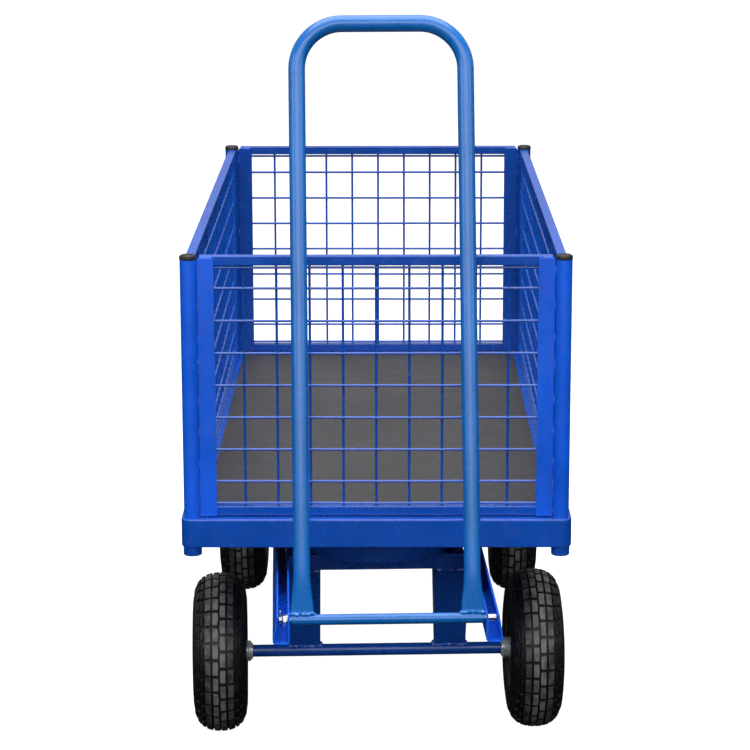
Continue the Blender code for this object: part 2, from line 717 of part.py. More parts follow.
# ---------------------------------------------------------------- assembly

clear_scene()
build_deck_frame()
build_deck_board()
build_crossmembers()
build_sockets()
build_rear_axle()
build_handle(build_bogie())
for panel_end, post_line in POST_LINES.items():
    build_gate(panel_end, post_line)
for side_name, side_sign in SIDES.items():
    build_side(side_name, side_sign)
bpy.context.view_layer.update()
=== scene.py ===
"""Looks of the turntable platform truck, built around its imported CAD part.

X runs across the truck, Y from the draw handle towards the rear, Z up, in metres.
Shapes on the turned bogie and on the leaning handle are made in their own axes,
then moved into place.
"""

from itertools import product
from math import copysign, cos, hypot, pi, radians, sin, tau

import bmesh
import bpy
import numpy as np
from mathutils import Matrix, Vector, noise


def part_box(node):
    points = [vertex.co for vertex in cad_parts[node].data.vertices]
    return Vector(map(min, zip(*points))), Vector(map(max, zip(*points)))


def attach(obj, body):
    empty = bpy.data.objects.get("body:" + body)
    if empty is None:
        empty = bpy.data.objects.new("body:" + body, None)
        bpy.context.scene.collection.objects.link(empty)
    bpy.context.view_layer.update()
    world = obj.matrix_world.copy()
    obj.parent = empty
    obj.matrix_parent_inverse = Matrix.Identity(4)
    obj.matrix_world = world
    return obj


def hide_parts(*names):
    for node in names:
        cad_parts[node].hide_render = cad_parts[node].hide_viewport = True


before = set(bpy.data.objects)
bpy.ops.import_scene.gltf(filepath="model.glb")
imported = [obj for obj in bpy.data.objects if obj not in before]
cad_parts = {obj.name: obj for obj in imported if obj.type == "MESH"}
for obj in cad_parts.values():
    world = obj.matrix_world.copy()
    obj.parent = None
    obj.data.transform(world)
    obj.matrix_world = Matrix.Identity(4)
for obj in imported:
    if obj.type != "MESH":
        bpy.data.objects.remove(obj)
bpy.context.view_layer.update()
SCENE = bpy.context.scene
noise.seed_set(1)    # without a seed the wires would stray differently on every run

ENDS = ("front", "rear")
SIDES = {"left": -1, "right": 1}

# Deck
FRAME_SHEET = 0.002
FRAME_CORNER = 0.017
FRAME_EDGE = 0.003
FRAME_FOLD = 0.0015
TOP_FLANGE = 0.034
BOTTOM_FLANGE = 0.025
SPIGOT_SPACING = 0.800
SPIGOT_BORE = 0.014
SPIGOT_DIAMETER = 0.013
CROSSMEMBER_WIDTH = 0.040

# Mesh panels
RAIL = 0.015
STILE = 0.012
STILE_INNER = 0.2465
UPRIGHT_WIDTH = 0.0252
UPRIGHT_OUTER = 0.2712
UPRIGHT_TOP = 0.825
LUG_HEIGHTS = (0.8035, 0.660, 0.446)
LUG_HEIGHT = 0.014
MESH_PITCH = 0.0505
MESH_MIDDLE = 0.6255
WIRE = 0.004
WIRE_OFFSET = 0.42 * WIRE           # from the mesh's middle plane to the wires on each face of it
SIDE_BRACE_SPACING = 0.360
POST_WALL = 0.002
POST_CONTACT = 0.0124               # from a post's middle to the lugs and flat bars that meet it
POST_HOLE = 0.013
SOCKET_WALL = 0.0015

# Wheels
WHEEL_TURN = 1.13                   # each wheel stands turned by one more of these, in radians
RIM_RADIUS = 0.0535
BOLT_CIRCLE = 0.0262
AXLE_RADIUS = 0.010
TREAD_PITCHES = 30
TREAD_DEPTH = 0.0026
TREAD_EDGE = 0.0005

# Bogie and draw handle
STEER_AT_REST = radians(2.3)
LEG_MIDDLE = 0.1195
LEG_WIDTH = 0.052
LEG_PLATE = 0.009
LEG_FLAT = 0.007
ARM_INNER = 0.1445
ARM_WIDTH = 0.0255
ARM_HEIGHT = 0.043
ARM_BOTTOM = 0.291
ARM_WALL = 0.003
ARM_LEAN = 0.006
ARM_REACH = 0.4445
ARM_TAIL = 0.073
ARM_FOLD = 0.006
BEAM_REACH = 0.060
BEAM_DEPTH = 0.026
PIVOT_REACH = 0.428
PIVOT_HEIGHT = 0.324
PIVOT_ROD = 0.011
HANDLE_LEAN = radians(16.0)
HANDLE_SPACING = 0.252
HANDLE_LENGTH = 0.8850
HANDLE_TUBE = 0.025
HANDLE_BEND = 0.068
HANDLE_FOOT = (0.0172, 0.0050)      # half width and half depth of a flattened foot
HANDLE_FLARE = 0.062
CROSS_TUBE = 0.016
GAP = 0.0003

TYRE_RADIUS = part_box("front_axle")[0].z + AXLE_RADIUS
KING_PIN = (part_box("turntable_plate")[0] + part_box("turntable_plate")[1]) / 2
KING_PIN.z = 0.0
BOGIE = Matrix.Translation(KING_PIN) @ Matrix.Rotation(STEER_AT_REST, 4, "Z")
PIVOT = Matrix.Translation((0, -PIVOT_REACH, PIVOT_HEIGHT))
HANDLE = BOGIE @ PIVOT @ Matrix.Rotation(-HANDLE_LEAN, 4, "X")


# ---------------------------------------------------------------- materials

def set_range(node, start, end, low, high):
    limits = {"From Min": start, "From Max": end, "To Min": low, "To Max": high}
    for name, value in limits.items():
        node.inputs[name].default_value = value


class Look:
    """A Principled material whose textures are laid out in the part's metres."""

    def __init__(self, name, metallic=0.0, coat=0.0, ior=1.5):
        self.material = bpy.data.materials.new(name)
        self.material.use_nodes = True
        self.tree = self.material.node_tree
        self.shader = self.tree.nodes["Principled BSDF"]
        self.shader.inputs["Metallic"].default_value = metallic
        self.shader.inputs["Coat Weight"].default_value = coat
        self.shader.inputs["Coat Roughness"].default_value = 0.15
        self.shader.inputs["IOR"].default_value = ior
        self.coords = self.tree.nodes.new("ShaderNodeTexCoord").outputs["Object"]

    def node(self, kind, **settings):
        made = self.tree.nodes.new("ShaderNode" + kind)
        for name, value in settings.items():
            setattr(made, name, value)
        return made

    def link(self, source, target):
        self.tree.links.new(source, target)

    def stretched(self, stretch):
        mapping = self.node("Mapping")
        mapping.inputs["Scale"].default_value = stretch
        self.link(self.coords, mapping.inputs["Vector"])
        return mapping.outputs["Vector"]

    def noise(self, scale, detail=2.0, stretch=(1, 1, 1)):
        made = self.node("TexNoise")
        made.inputs["Scale"].default_value = scale
        made.inputs["Detail"].default_value = detail
        self.link(self.stretched(stretch), made.inputs["Vector"])
        return made.outputs["Fac"]

    def spots(self, scale, size):
        """1 inside sparse round specks, 0 elsewhere."""
        made = self.node("TexVoronoi")
        made.inputs["Scale"].default_value = scale
        self.link(self.coords, made.inputs["Vector"])
        return self.between(made.outputs["Distance"], size, size * 0.5, 0.0, 1.0)

    def ribs(self, pitch, axis):
        """A smooth wave from 0 to 1 that repeats every pitch along an axis."""
        made = self.node("TexWave", bands_direction=axis)
        made.inputs["Scale"].default_value = tau / 20 / pitch
        self.link(self.coords, made.inputs["Vector"])
        return made.outputs["Fac"]

    def between(self, value, start, end, low=0.0, high=1.0):
        made = self.node("MapRange")
        set_range(made, start, end, low, high)
        self.link(value, made.inputs["Value"])
        return made.outputs["Result"]

    def cloud(self, scale, detail, start, end, low=0.0, high=1.0):
        """Noise whose values from start to end are taken to low to high."""
        return self.between(self.noise(scale, detail), start, end, low, high)

    def math(self, operation, first, second):
        made = self.node("Math", operation=operation)
        for socket, value in zip(made.inputs, (first, second)):
            if isinstance(value, (int, float)):
                socket.default_value = value
            else:
                self.link(value, socket)
        return made.outputs["Value"]

    def mix(self, factor, first, second):
        made = self.node("Mix", data_type="RGBA")
        self.link(factor, made.inputs["Factor"])
        for socket, colour in ((made.inputs["A"], first), (made.inputs["B"], second)):
            if isinstance(colour, tuple):
                socket.default_value = (*colour, 1.0)
            else:
                self.link(colour, socket)
        return made.outputs["Result"]

    def finish(self, colour, roughness, height=None, distance=0.0005, strength=0.3):
        self.link(colour, self.shader.inputs["Base Color"])
        self.link(roughness, self.shader.inputs["Roughness"])
        if height is not None:
            bump = self.node("Bump")
            bump.inputs["Strength"].default_value = strength
            bump.inputs["Distance"].default_value = distance
            self.link(height, bump.inputs["Height"])
            self.link(bump.outputs["Normal"], self.shader.inputs["Normal"])
        return self.material


def shade(colour, factor):
    return tuple(channel * factor for channel in colour)


def painted_steel(name, colour, roughness=0.24):
    """Powder coat: orange peel, slow drift of tone, a little dust in the low spots."""
    look = Look(name, coat=0.5, ior=1.5)
    base = look.mix(look.cloud(9.0, 3.0, 0.35, 0.65), shade(colour, 0.90), shade(colour, 1.10))
    dust = look.cloud(60.0, 8.0, 0.62, 0.85, 0.0, 0.06)
    base = look.mix(dust, base, (0.30, 0.31, 0.34))
    gloss = look.cloud(30.0, 4.0, 0.3, 0.7, roughness - 0.06, roughness + 0.08)
    return look.finish(base, gloss, look.noise(330.0, 2.0), distance=0.0003, strength=0.12)


def weld_metal(name, colour):
    """Painted weld: the same coat, thin and shiny on the ripples."""
    look = Look(name, coat=0.6, ior=1.55)
    base = look.mix(look.cloud(240.0, 4.0, 0.4, 0.6), shade(colour, 0.75), shade(colour, 1.6))
    gloss = look.cloud(300.0, 2.0, 0.3, 0.7, 0.18, 0.40)
    return look.finish(base, gloss, look.noise(700.0, 3.0), distance=0.0005, strength=0.4)


def zinc_plate(name, metallic=1.0, roughness=0.26):
    look = Look(name, metallic=metallic)
    base = look.mix(look.cloud(90.0, 4.0, 0.35, 0.65), (0.62, 0.66, 0.68), (0.80, 0.82, 0.80))
    gloss = look.cloud(220.0, 3.0, 0.3, 0.7, roughness - 0.06, roughness + 0.12)
    return look.finish(base, gloss, look.noise(500.0, 2.0), distance=0.0002, strength=0.15)


def black_plastic(name):
    look = Look(name)
    scuffs = look.cloud(120.0, 6.0, 0.5, 0.75, 0.0, 0.5)
    base = look.mix(scuffs, (0.012, 0.012, 0.013), (0.035, 0.034, 0.033))
    gloss = look.cloud(80.0, 4.0, 0.3, 0.7, 0.28, 0.48)
    return look.finish(base, gloss, look.noise(900.0, 2.0), distance=0.0002, strength=0.25)


def tyre_rubber(name, dark, dusty, amount, roughness=0.52):
    """Black rubber with dry dust; amount is how much of the surface the dust takes. Given bluish colours,
    the same mix paints sheen as well as dust.
    """
    look = Look(name)
    patches = look.cloud(70.0, 6.0, 0.62 - amount, 0.80 - amount)
    base = look.mix(patches, dark, dusty)
    gloss = look.cloud(160.0, 4.0, 0.3, 0.7, roughness - 0.10, roughness + 0.14)
    return look.finish(base, gloss, look.noise(600.0, 4.0), distance=0.0004, strength=0.35)


def rim_enamel(name):
    look = Look(name, coat=0.2)
    rust = look.cloud(45.0, 6.0, 0.58, 0.74, 0.0, 0.35)
    base = look.mix(rust, (0.045, 0.046, 0.050), (0.095, 0.060, 0.038))
    gloss = look.cloud(60.0, 4.0, 0.3, 0.7, 0.28, 0.50)
    return look.finish(base, gloss, look.noise(400.0, 2.0), distance=0.0002, strength=0.2)


def deck_coating(name):
    """Film-faced plywood with a fine ribbed anti-slip print, scuffed and lightly dusty."""
    look = Look(name)
    ribs = look.ribs(0.0036, "X")
    weave = look.ribs(0.0048, "Y")
    worn = look.between(look.noise(5.0, 5.0, (1.0, 0.5, 1.0)), 0.35, 0.70)
    base = look.mix(worn, (0.019, 0.018, 0.019), (0.033, 0.032, 0.033))
    base = look.mix(look.between(ribs, 0.0, 1.0, 0.0, 0.45), base, (0.062, 0.060, 0.061))
    specks = look.math("MULTIPLY", look.spots(28.0, 0.035), look.between(look.noise(6.0), 0.45, 0.6))
    base = look.mix(specks, base, (0.62, 0.61, 0.58))
    gloss = look.cloud(12.0, 5.0, 0.3, 0.7, 0.40, 0.60)
    height = look.math("ADD", ribs, look.math("MULTIPLY", weave, 0.35))
    return look.finish(base, gloss, height, distance=0.0006, strength=0.5)


BLUE = (0.0035, 0.066, 0.40)
# Painted light: a lighter copy of BLUE for the front uprights, front posts and draw arms, standing in for
# the stronger light they catch.
LIT_BLUE = (0.0045, 0.100, 0.69)
# Painted shade: a slightly darker copy of BLUE for the steel under the deck (crossmembers, legs, axles,
# turntable, beams), standing in for the deck's shade.
SHADED_BLUE = (0.0060, 0.060, 0.34)
# Painted light: a lighter, greener copy of BLUE for the draw handle, standing in for the broad sheen along
# its tube.
LIT_HANDLE_BLUE = (0.0040, 0.112, 0.40)

BLUE_PAINT = painted_steel("blue_paint", BLUE)
# Painted shade: the rear panel's rails, uprights and posts take the blue paint darkened to 74 %, standing
# in for the shade the far panel lies in.
SHADED_REAR_PAINT = painted_steel("rear_painted_shade_paint", shade(BLUE, 0.74))
LIT_BLUE_PAINT = painted_steel("lit_blue_paint", LIT_BLUE, 0.30)
SHADED_BLUE_PAINT = painted_steel("navy_paint", SHADED_BLUE, 0.28)
LIT_HANDLE_PAINT = painted_steel("handle_paint", LIT_HANDLE_BLUE, 0.24)
BLUE_WELD = weld_metal("blue_weld", BLUE)
SHADED_BLUE_WELD = weld_metal("under_deck_shade_weld", SHADED_BLUE)
LIT_HANDLE_WELD = weld_metal("handle_lit_weld", LIT_HANDLE_BLUE)
ZINC = zinc_plate("zinc")
DULL_ZINC = zinc_plate("dull_zinc", 0.6, 0.28)
BLACK_PLASTIC = black_plastic("black_plastic")
RUBBER = tyre_rubber("tyre_rubber", (0.0045, 0.0045, 0.0055), (0.018, 0.017, 0.016), 0.08, 0.42)
# The second tread row's tops: bluish grey, partly dust and partly painted sheen.
SHEEN_SHOULDER_RUBBER = tyre_rubber("shoulder_dust_and_sheen_rubber", (0.028, 0.032, 0.040), (0.078, 0.082, 0.092), 0.20, 0.34)
DUSTY_RUBBER = tyre_rubber("tread_rubber", (0.075, 0.074, 0.072), (0.15, 0.148, 0.142), 0.25)
RIM_ENAMEL = rim_enamel("rim_enamel")
DECK_COATING = deck_coating("deck_coating")

# Rear rails take the painted shade; front rails take the plain blue paint.
RAIL_PAINT_AND_SHADE = {"front": BLUE_PAINT, "rear": SHADED_REAR_PAINT}
# Posts and uprights: painted light at the front, painted shade at the rear.
POST_LIT_AND_SHADED_PAINT = {"front": LIT_BLUE_PAINT, "rear": SHADED_REAR_PAINT}


# ---------------------------------------------------------------- solids

def box(low, high, edge=0.001, segments=2):
    """A block with rounded edges."""
    solid = bmesh.new()
    verts = bmesh.ops.create_cube(solid, size=1.0)["verts"]
    low, high = Vector(low), Vector(high)
    bmesh.ops.scale(solid, vec=high - low, verts=verts)
    bmesh.ops.translate(solid, vec=(low + high) / 2, verts=verts)
    bmesh.ops.bevel(solid, geom=solid.edges[:], offset=edge, segments=segments, profile=0.5, affect="EDGES")
    return solid


def span(first, second, depth, height, edge=0.001):
    """A box between two places on X, in either order, with ranges for Y and Z."""
    low, high = sorted((first, second))
    return box((low, depth[0], height[0]), (high, depth[1], height[1]), edge)


def prism(outline, start, end, axis, edge=0.0008):
    """A flat outline pushed along X, Y or Z, with its edges rounded."""
    solid = bmesh.new()

    def point(a, b, along):
        return {"X": (along, a, b), "Y": (a, along, b), "Z": (a, b, along)}[axis]

    first = [solid.verts.new(point(a, b, start)) for a, b in outline]
    last = [solid.verts.new(point(a, b, end)) for a, b in outline]
    solid.faces.new(first)
    solid.faces.new(reversed(last))
    for index, vert in enumerate(first):
        after = (index + 1) % len(first)
        solid.faces.new((first[after], vert, last[index], last[after]))
    bmesh.ops.recalc_face_normals(solid, faces=solid.faces)
    if edge:
        sharp = [item for item in solid.edges if item.calc_face_angle() > radians(25)]
        bmesh.ops.bevel(solid, geom=sharp, offset=edge, segments=2, profile=0.5, affect="EDGES")
    return solid


def turned(profile, segments=48, axis="Z", closed=True):
    """A profile of (radius, height) turned about an axis. Points at radius 0 are poles."""
    solid = bmesh.new()

    def point(radius, height, angle):
        a, b = radius * cos(angle), radius * sin(angle)
        return {"X": (height, a, b), "Y": (b, height, a), "Z": (a, b, height)}[axis]

    rings = []
    for radius, height in profile:
        count = segments if radius > 1e-6 else 1
        rings.append([solid.verts.new(point(radius, height, tau * k / segments)) for k in range(count)])
    pairs = list(zip(rings, rings[1:] + rings[:1]))
    for lower, upper in pairs if closed else pairs[:-1]:
        if len(lower) == len(upper) == 1:
            continue
        for k in range(segments):
            ring = [lower[k % len(lower)], lower[(k + 1) % len(lower)]]
            ring += [upper[(k + 1) % len(upper)], upper[k % len(upper)]]
            solid.faces.new(dict.fromkeys(ring))
    return solid


def swept(path, section, closed=False):
    """A section carried along a path. section(distance) gives its (side, up) points."""
    solid = bmesh.new()
    points = [Vector(point) for point in path]
    count = len(points)
    rings = []
    side = None
    travelled = 0.0
    for index, point in enumerate(points):
        before = points[index - 1] if index or closed else point
        after = points[(index + 1) % count] if index < count - 1 or closed else point
        along = (after - before).normalized()
        if side is None:
            guide = Vector((1, 0, 0)) if abs(along.x) < 0.9 else Vector((0, 1, 0))
            side = guide
        side = (side - along * side.dot(along)).normalized()
        up = along.cross(side)
        travelled += (point - points[index - 1]).length if index else 0.0
        rings.append([solid.verts.new(point + side * a + up * b) for a, b in section(travelled)])
    steps = zip(rings, rings[1:] + rings[:1]) if closed else zip(rings, rings[1:])
    for lower, upper in steps:
        for k in range(len(lower)):
            after = (k + 1) % len(lower)
            solid.faces.new((lower[k], lower[after], upper[after], upper[k]))
    if not closed:
        solid.faces.new(reversed(rings[0]))
        solid.faces.new(rings[-1])
    return solid


def round_section(radius, sides):
    return [(radius * cos(tau * k / sides), radius * sin(tau * k / sides)) for k in range(sides)]


def rod(start, end, radius, sides=10):
    """A straight round bar."""
    return swept((start, end), lambda travelled: round_section(radius, sides))


def wire(start, end, seed):
    """A mesh wire that strays a little from straight, as drawn wire does."""
    start, end = Vector(start), Vector(end)
    steps = max(2, round((end - start).length / 0.09))
    path = []
    for step in range(steps + 1):
        share = step / steps
        stray = noise.noise_vector(Vector((seed * 3.7, share * 2.1, 0.4))) * 0.0006 * sin(pi * share)
        path.append(start.lerp(end, share) + stray)
    return swept(path, lambda travelled: round_section(WIRE / 2, 8))


def bead(start, end, radius, seed, lumps=0.35):
    """A weld bead: overlapping ripples with uneven edges."""
    start, end = Vector(start), Vector(end)
    length = (end - start).length
    steps = max(6, round(length / (radius * 0.45)))
    path = [start.lerp(end, step / steps) for step in range(steps + 1)]

    def section(travelled):
        share = travelled / length
        taper = min(1.0, 6 * share + 0.35, 6 * (1 - share) + 0.35)
        points = []
        for k, (a, b) in enumerate(round_section(1.0, 9)):
            rough = noise.noise(Vector((seed * 5.3 + a, b, travelled / radius * 0.9)))
            size = radius * taper * (1 + lumps * rough + 0.10 * sin(travelled / radius * 4))
            points.append((a * size, b * size))
        return points

    return swept(path, section)


def coloured(solid, index):
    for face in solid.faces:
        face.material_index = index
    return solid


def weld(start, end, radius, seed, lumps=0.35):
    """A bead that takes its piece's second material."""
    return coloured(bead(start, end, radius, seed, lumps), 1)


def facing(profile, sign):
    """A turned profile's points, mirrored along the axis where sign is -1."""
    return [(radius, sign * along) for radius, along in profile]


def bar_profile(radius, half, chamfer, bore=0.0):
    """Half a section through a round bar or tube with chamfered ends."""
    side = [(bore, half), (radius - chamfer, half), (radius, half - chamfer)]
    return facing(side, -1) + side[::-1]


def moved(solid, matrix):
    solid.transform(matrix)
    return solid


def piece(name, solids, looks, body, stands_for=(), matrix=None, smooth=38):
    """One named piece from its solids. It rides on a body and may stand for CAD nodes."""
    mesh = bpy.data.meshes.new(name)
    whole = bmesh.new()
    for solid in solids:
        bmesh.ops.recalc_face_normals(solid, faces=solid.faces)
        if matrix is not None:
            solid.transform(matrix)
        solid.to_mesh(mesh)
        solid.free()
        whole.from_mesh(mesh)
    whole.to_mesh(mesh)
    whole.free()
    for look in looks:
        mesh.materials.append(look)
    mesh.shade_smooth()
    mesh.set_sharp_from_angle(angle=radians(smooth))
    made = bpy.data.objects.new(name, mesh)
    SCENE.collection.objects.link(made)
    made.modifiers.new("flat_faces", "WEIGHTED_NORMAL").keep_sharp = True
    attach(made, body)
    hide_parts(*stands_for)
    return made


def middle_of(node):
    low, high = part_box(node)
    return (low + high) / 2


# ---------------------------------------------------------------- deck

def rounded_path(low, high, radius, inset, steps=8):
    """A rectangle with round corners seen from above, counter-clockwise, moved in by inset."""
    points = []
    corners = ((high.x, high.y, 0), (low.x, high.y, 90), (low.x, low.y, 180), (high.x, low.y, 270))
    reach = max(radius - inset, 0.0005)
    middle = (low + high) / 2
    for x, y, turn in corners:
        centre_x = x - copysign(inset + reach, x - middle.x)
        centre_y = y - copysign(inset + reach, y - middle.y)
        for step in range(steps + 1):
            angle = radians(turn + 90 * step / steps)
            points.append((centre_x + reach * cos(angle), centre_y + reach * sin(angle)))
    return points


def ring_of(profile, low, high, radius):
    """A profile of (inset, height) points carried round a rectangle with round corners."""
    solid = bmesh.new()
    rings = []
    for inset, height in profile:
        path = rounded_path(low, high, radius, inset)
        rings.append([solid.verts.new((x, y, height)) for x, y in path])
    for lower, upper in zip(rings, rings[1:] + rings[:1]):
        for k in range(len(lower)):
            after = (k + 1) % len(lower)
            solid.faces.new((lower[k], lower[after], upper[after], upper[k]))
    return solid


def arc(centre, radius, start, end, steps):
    angles = (radians(start + (end - start) * step / steps) for step in range(steps + 1))
    return [(centre[0] + radius * cos(angle), centre[1] + radius * sin(angle)) for angle in angles]


def build_deck():
    low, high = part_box("deck_frame")
    sheet = FRAME_SHEET
    profile = [(sheet, low.z + sheet)]
    profile += [(BOTTOM_FLANGE, low.z + sheet), (BOTTOM_FLANGE, low.z)]
    profile += arc((FRAME_FOLD, low.z + FRAME_FOLD), FRAME_FOLD, 270, 180, 3)
    profile += arc((FRAME_EDGE, high.z - FRAME_EDGE), FRAME_EDGE, 180, 90, 6)
    profile += [(TOP_FLANGE - 0.0008, high.z), (TOP_FLANGE, high.z - 0.0006)]
    profile += [(TOP_FLANGE, high.z - sheet), (sheet, high.z - sheet)]
    ring = ring_of(profile, low, high, FRAME_CORNER)
    made = piece("deck_frame_profile", [ring], [BLUE_PAINT], "deck", ["deck_frame"])
    posts = [middle_of(f"{end}_{side}_post") for end, side in product(ENDS, SIDES)]
    holes = [((post.x, post.y, high.z), POST_HOLE) for post in posts]
    for side, sign in product(SIDES, (-1, 1)):
        y = (low.y + high.y) / 2 + sign * SPIGOT_SPACING / 2
        holes.append(((middle_of(f"{side}_side_frame").x, y, high.z), SPIGOT_BORE / 2))
    drill(made, [(Matrix.Translation(place), radius) for place, radius in holes], 0.02)
    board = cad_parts["deck_board"]
    board.data.materials.clear()
    board.data.materials.append(DECK_COATING)
    build_crossmembers()
    build_sockets(low)


def drill(obj, holes, depth):
    """Cuts round holes out of a piece, each a (matrix, radius), and applies the cut."""
    cutters = bmesh.new()
    for matrix, radius in holes:
        bmesh.ops.create_cone(cutters, cap_ends=True, segments=32, radius1=radius, radius2=radius,
                              depth=depth, matrix=matrix)
    mesh = bpy.data.meshes.new("cutters")
    cutters.to_mesh(mesh)
    cutters.free()
    helper = bpy.data.objects.new("cutters", mesh)
    SCENE.collection.objects.link(helper)
    cut = obj.modifiers.new("cut", "BOOLEAN")
    cut.operation = "DIFFERENCE"
    cut.solver = "EXACT"
    cut.object = helper
    obj.modifiers.move(len(obj.modifiers) - 1, 0)
    bpy.context.view_layer.update()
    evaluated = obj.evaluated_get(bpy.context.evaluated_depsgraph_get())
    made = bpy.data.meshes.new_from_object(evaluated)
    obj.modifiers.remove(cut)
    obj.data = made
    bpy.data.objects.remove(helper)


def build_crossmembers():
    """Folded channels under the board."""
    for axle in ENDS:
        for number in (1, 2):
            name = f"crossmember_{axle}_{number}"
            bottom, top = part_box(name)
            middle = (bottom.y + top.y) / 2
            half, web, fold = CROSSMEMBER_WIDTH / 2, FRAME_SHEET, 0.004
            near, far = middle - half, middle + half
            outline = [(near, top.z)]
            outline += arc((near + fold, bottom.z + fold), fold, 180, 270, 4)
            outline += arc((far - fold, bottom.z + fold), fold, 270, 360, 4)
            outline += [(far, top.z), (far - web, top.z)]
            outline += [(far - web, bottom.z + fold), (far - fold, bottom.z + web)]
            outline += [(near + fold, bottom.z + web), (near + web, bottom.z + fold)]
            outline += [(near + web, top.z)]
            solids = [prism(outline, bottom.x, top.x, "X", 0.0004)]
            for sign in SIDES.values():
                ends = ((sign * (top.x - 0.002), y, bottom.z + 0.002) for y in (near, far))
                solids.append(weld(*ends, 0.0025, number + sign))
            piece(f"{name}_channel", solids, [SHADED_BLUE_PAINT, SHADED_BLUE_WELD], "deck", [name])


def build_sockets(low):
    for end in ENDS:
        for side in SIDES:
            node = f"socket_{end}_{side}"
            bottom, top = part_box(node)
            radius = (top.x - bottom.x) / 2
            bore = radius - SOCKET_WALL
            profile = [(bore, bottom.z + 0.0006), (bore + 0.0005, bottom.z), (radius - 0.0006, bottom.z)]
            profile += [(radius, bottom.z + 0.0008), (radius, top.z), (bore, top.z)]
            place = Matrix.Translation(((bottom.x + top.x) / 2, (bottom.y + top.y) / 2, 0))
            solids = [moved(turned(profile, 40), place)]
            ring = []
            for step in range(8):
                turns = (tau * k / 8 for k in (step, step + 1.15))
                ends = ((radius * cos(turn), radius * sin(turn), low.z - 0.0008) for turn in turns)
                ring.append(moved(weld(*ends, 0.0017, step + bottom.x * 9), place))
            looks = [BLUE_PAINT, BLUE_WELD]
            piece(f"{node}_tube", solids + ring, looks, "deck", [node])


# ---------------------------------------------------------------- mesh panels

def evenly(middle, pitch, count):
    return [middle + (step - (count - 1) / 2) * pitch for step in range(count)]


def level_heights(low, high):
    """Heights of the level wires: an even set and one along each rail."""
    return [low + WIRE, *evenly(MESH_MIDDLE, MESH_PITCH, 7), high - WIRE]


def build_gate(end):
    """An end panel: square tube rails and stiles, flat uprights, wires, posts and caps."""
    body = f"{end}_gate"
    low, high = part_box(f"{end}_gate_frame")
    post_line = middle_of(f"{end}_left_post").y
    face, back = post_line + 0.001, post_line + 0.001 + RAIL
    reach = UPRIGHT_OUTER - 0.003
    levels = {"bottom": low.z, "top": high.z - RAIL}
    solids = [box((-reach, face, z), (reach, back, z + RAIL), 0.0016, 3) for z in levels.values()]
    welds = []
    inner_low, inner_high = levels["bottom"] + RAIL, levels["top"]
    for sign in SIDES.values():
        ends = (sign * STILE_INNER, sign * (STILE_INNER + STILE))
        solids.append(span(*ends, (face + 0.002, back - 0.001), (inner_low - 0.001, inner_high + 0.001)))
        for z in (inner_low, inner_high):
            places = ((x, back - 0.0018, z) for x in ends)
            welds.append(weld(*places, 0.0016, z + sign))
    looks = [RAIL_PAINT_AND_SHADE[end], BLUE_WELD]
    piece(f"{end}_gate_rails", solids + welds, looks, body, [f"{end}_gate_frame"])
    build_uprights(end, body, post_line, low.z, high.z)
    wires = []
    wire_line = (face + back) / 2
    y = wire_line + WIRE_OFFSET
    for number, x in enumerate(evenly(0.0, MESH_PITCH, 9)):
        wires.append(wire((x, y, inner_low - 0.004), (x, y, inner_high + 0.004), number + 1))
    x, y = STILE_INNER + 0.004, wire_line - WIRE_OFFSET
    for number, z in enumerate(level_heights(inner_low, inner_high)):
        wires.append(wire((-x, y, z), (x, y, z), number + 20))
    piece(f"{end}_gate_wires", wires, [BLUE_PAINT], body, [f"{end}_gate_mesh"])
    for side in SIDES:
        build_post(end, side, body)


def build_uprights(end, body, post_line, low, high):
    """Flat bars on the panel's face, their top corners cut, with lugs welded to the posts."""
    solids = []
    back, face = post_line + 0.004, post_line - 0.002
    post_edge = abs(middle_of(f"{end}_left_post").x) - POST_CONTACT
    reach = UPRIGHT_OUTER if end == "front" else post_edge
    for sign in SIDES.values():
        near, far = UPRIGHT_OUTER - UPRIGHT_WIDTH, reach
        outline = [(near, low + 0.0005), (far, low + 0.0005)]
        outline += [(far, UPRIGHT_TOP - 0.0045), (far - 0.0012, UPRIGHT_TOP - 0.001)]
        outline += [(far - 0.004, UPRIGHT_TOP), (near + 0.001, UPRIGHT_TOP), (near, UPRIGHT_TOP - 0.001)]
        outline = [(sign * x, z) for x, z in outline]
        solids.append(prism(outline, face, back, "Y", 0.0006))
        for number, height in enumerate(LUG_HEIGHTS):
            lug = (height - LUG_HEIGHT / 2, height + LUG_HEIGHT / 2)
            solids.append(span(sign * (far - 0.001), sign * post_edge, (face + 0.001, back - 0.001), lug))
            for x in (far + 0.0003, post_edge - 0.0004):
                ends = ((sign * x, face + 0.001, z) for z in (lug[0] - 0.001, lug[1] + 0.001))
                solids.append(weld(*ends, 0.0016, number + sign * x * 40, 0.7))
        ends = ((sign * x, face + 0.0025, UPRIGHT_TOP + 0.0002) for x in (near + 0.002, far - 0.003))
        solids.append(weld(*ends, 0.0015, sign + low, 0.6))
    # Front uprights take the painted light, rear uprights the painted shade.
    piece(f"{end}_gate_uprights", solids, [POST_LIT_AND_SHADED_PAINT[end], BLUE_WELD], body, ())


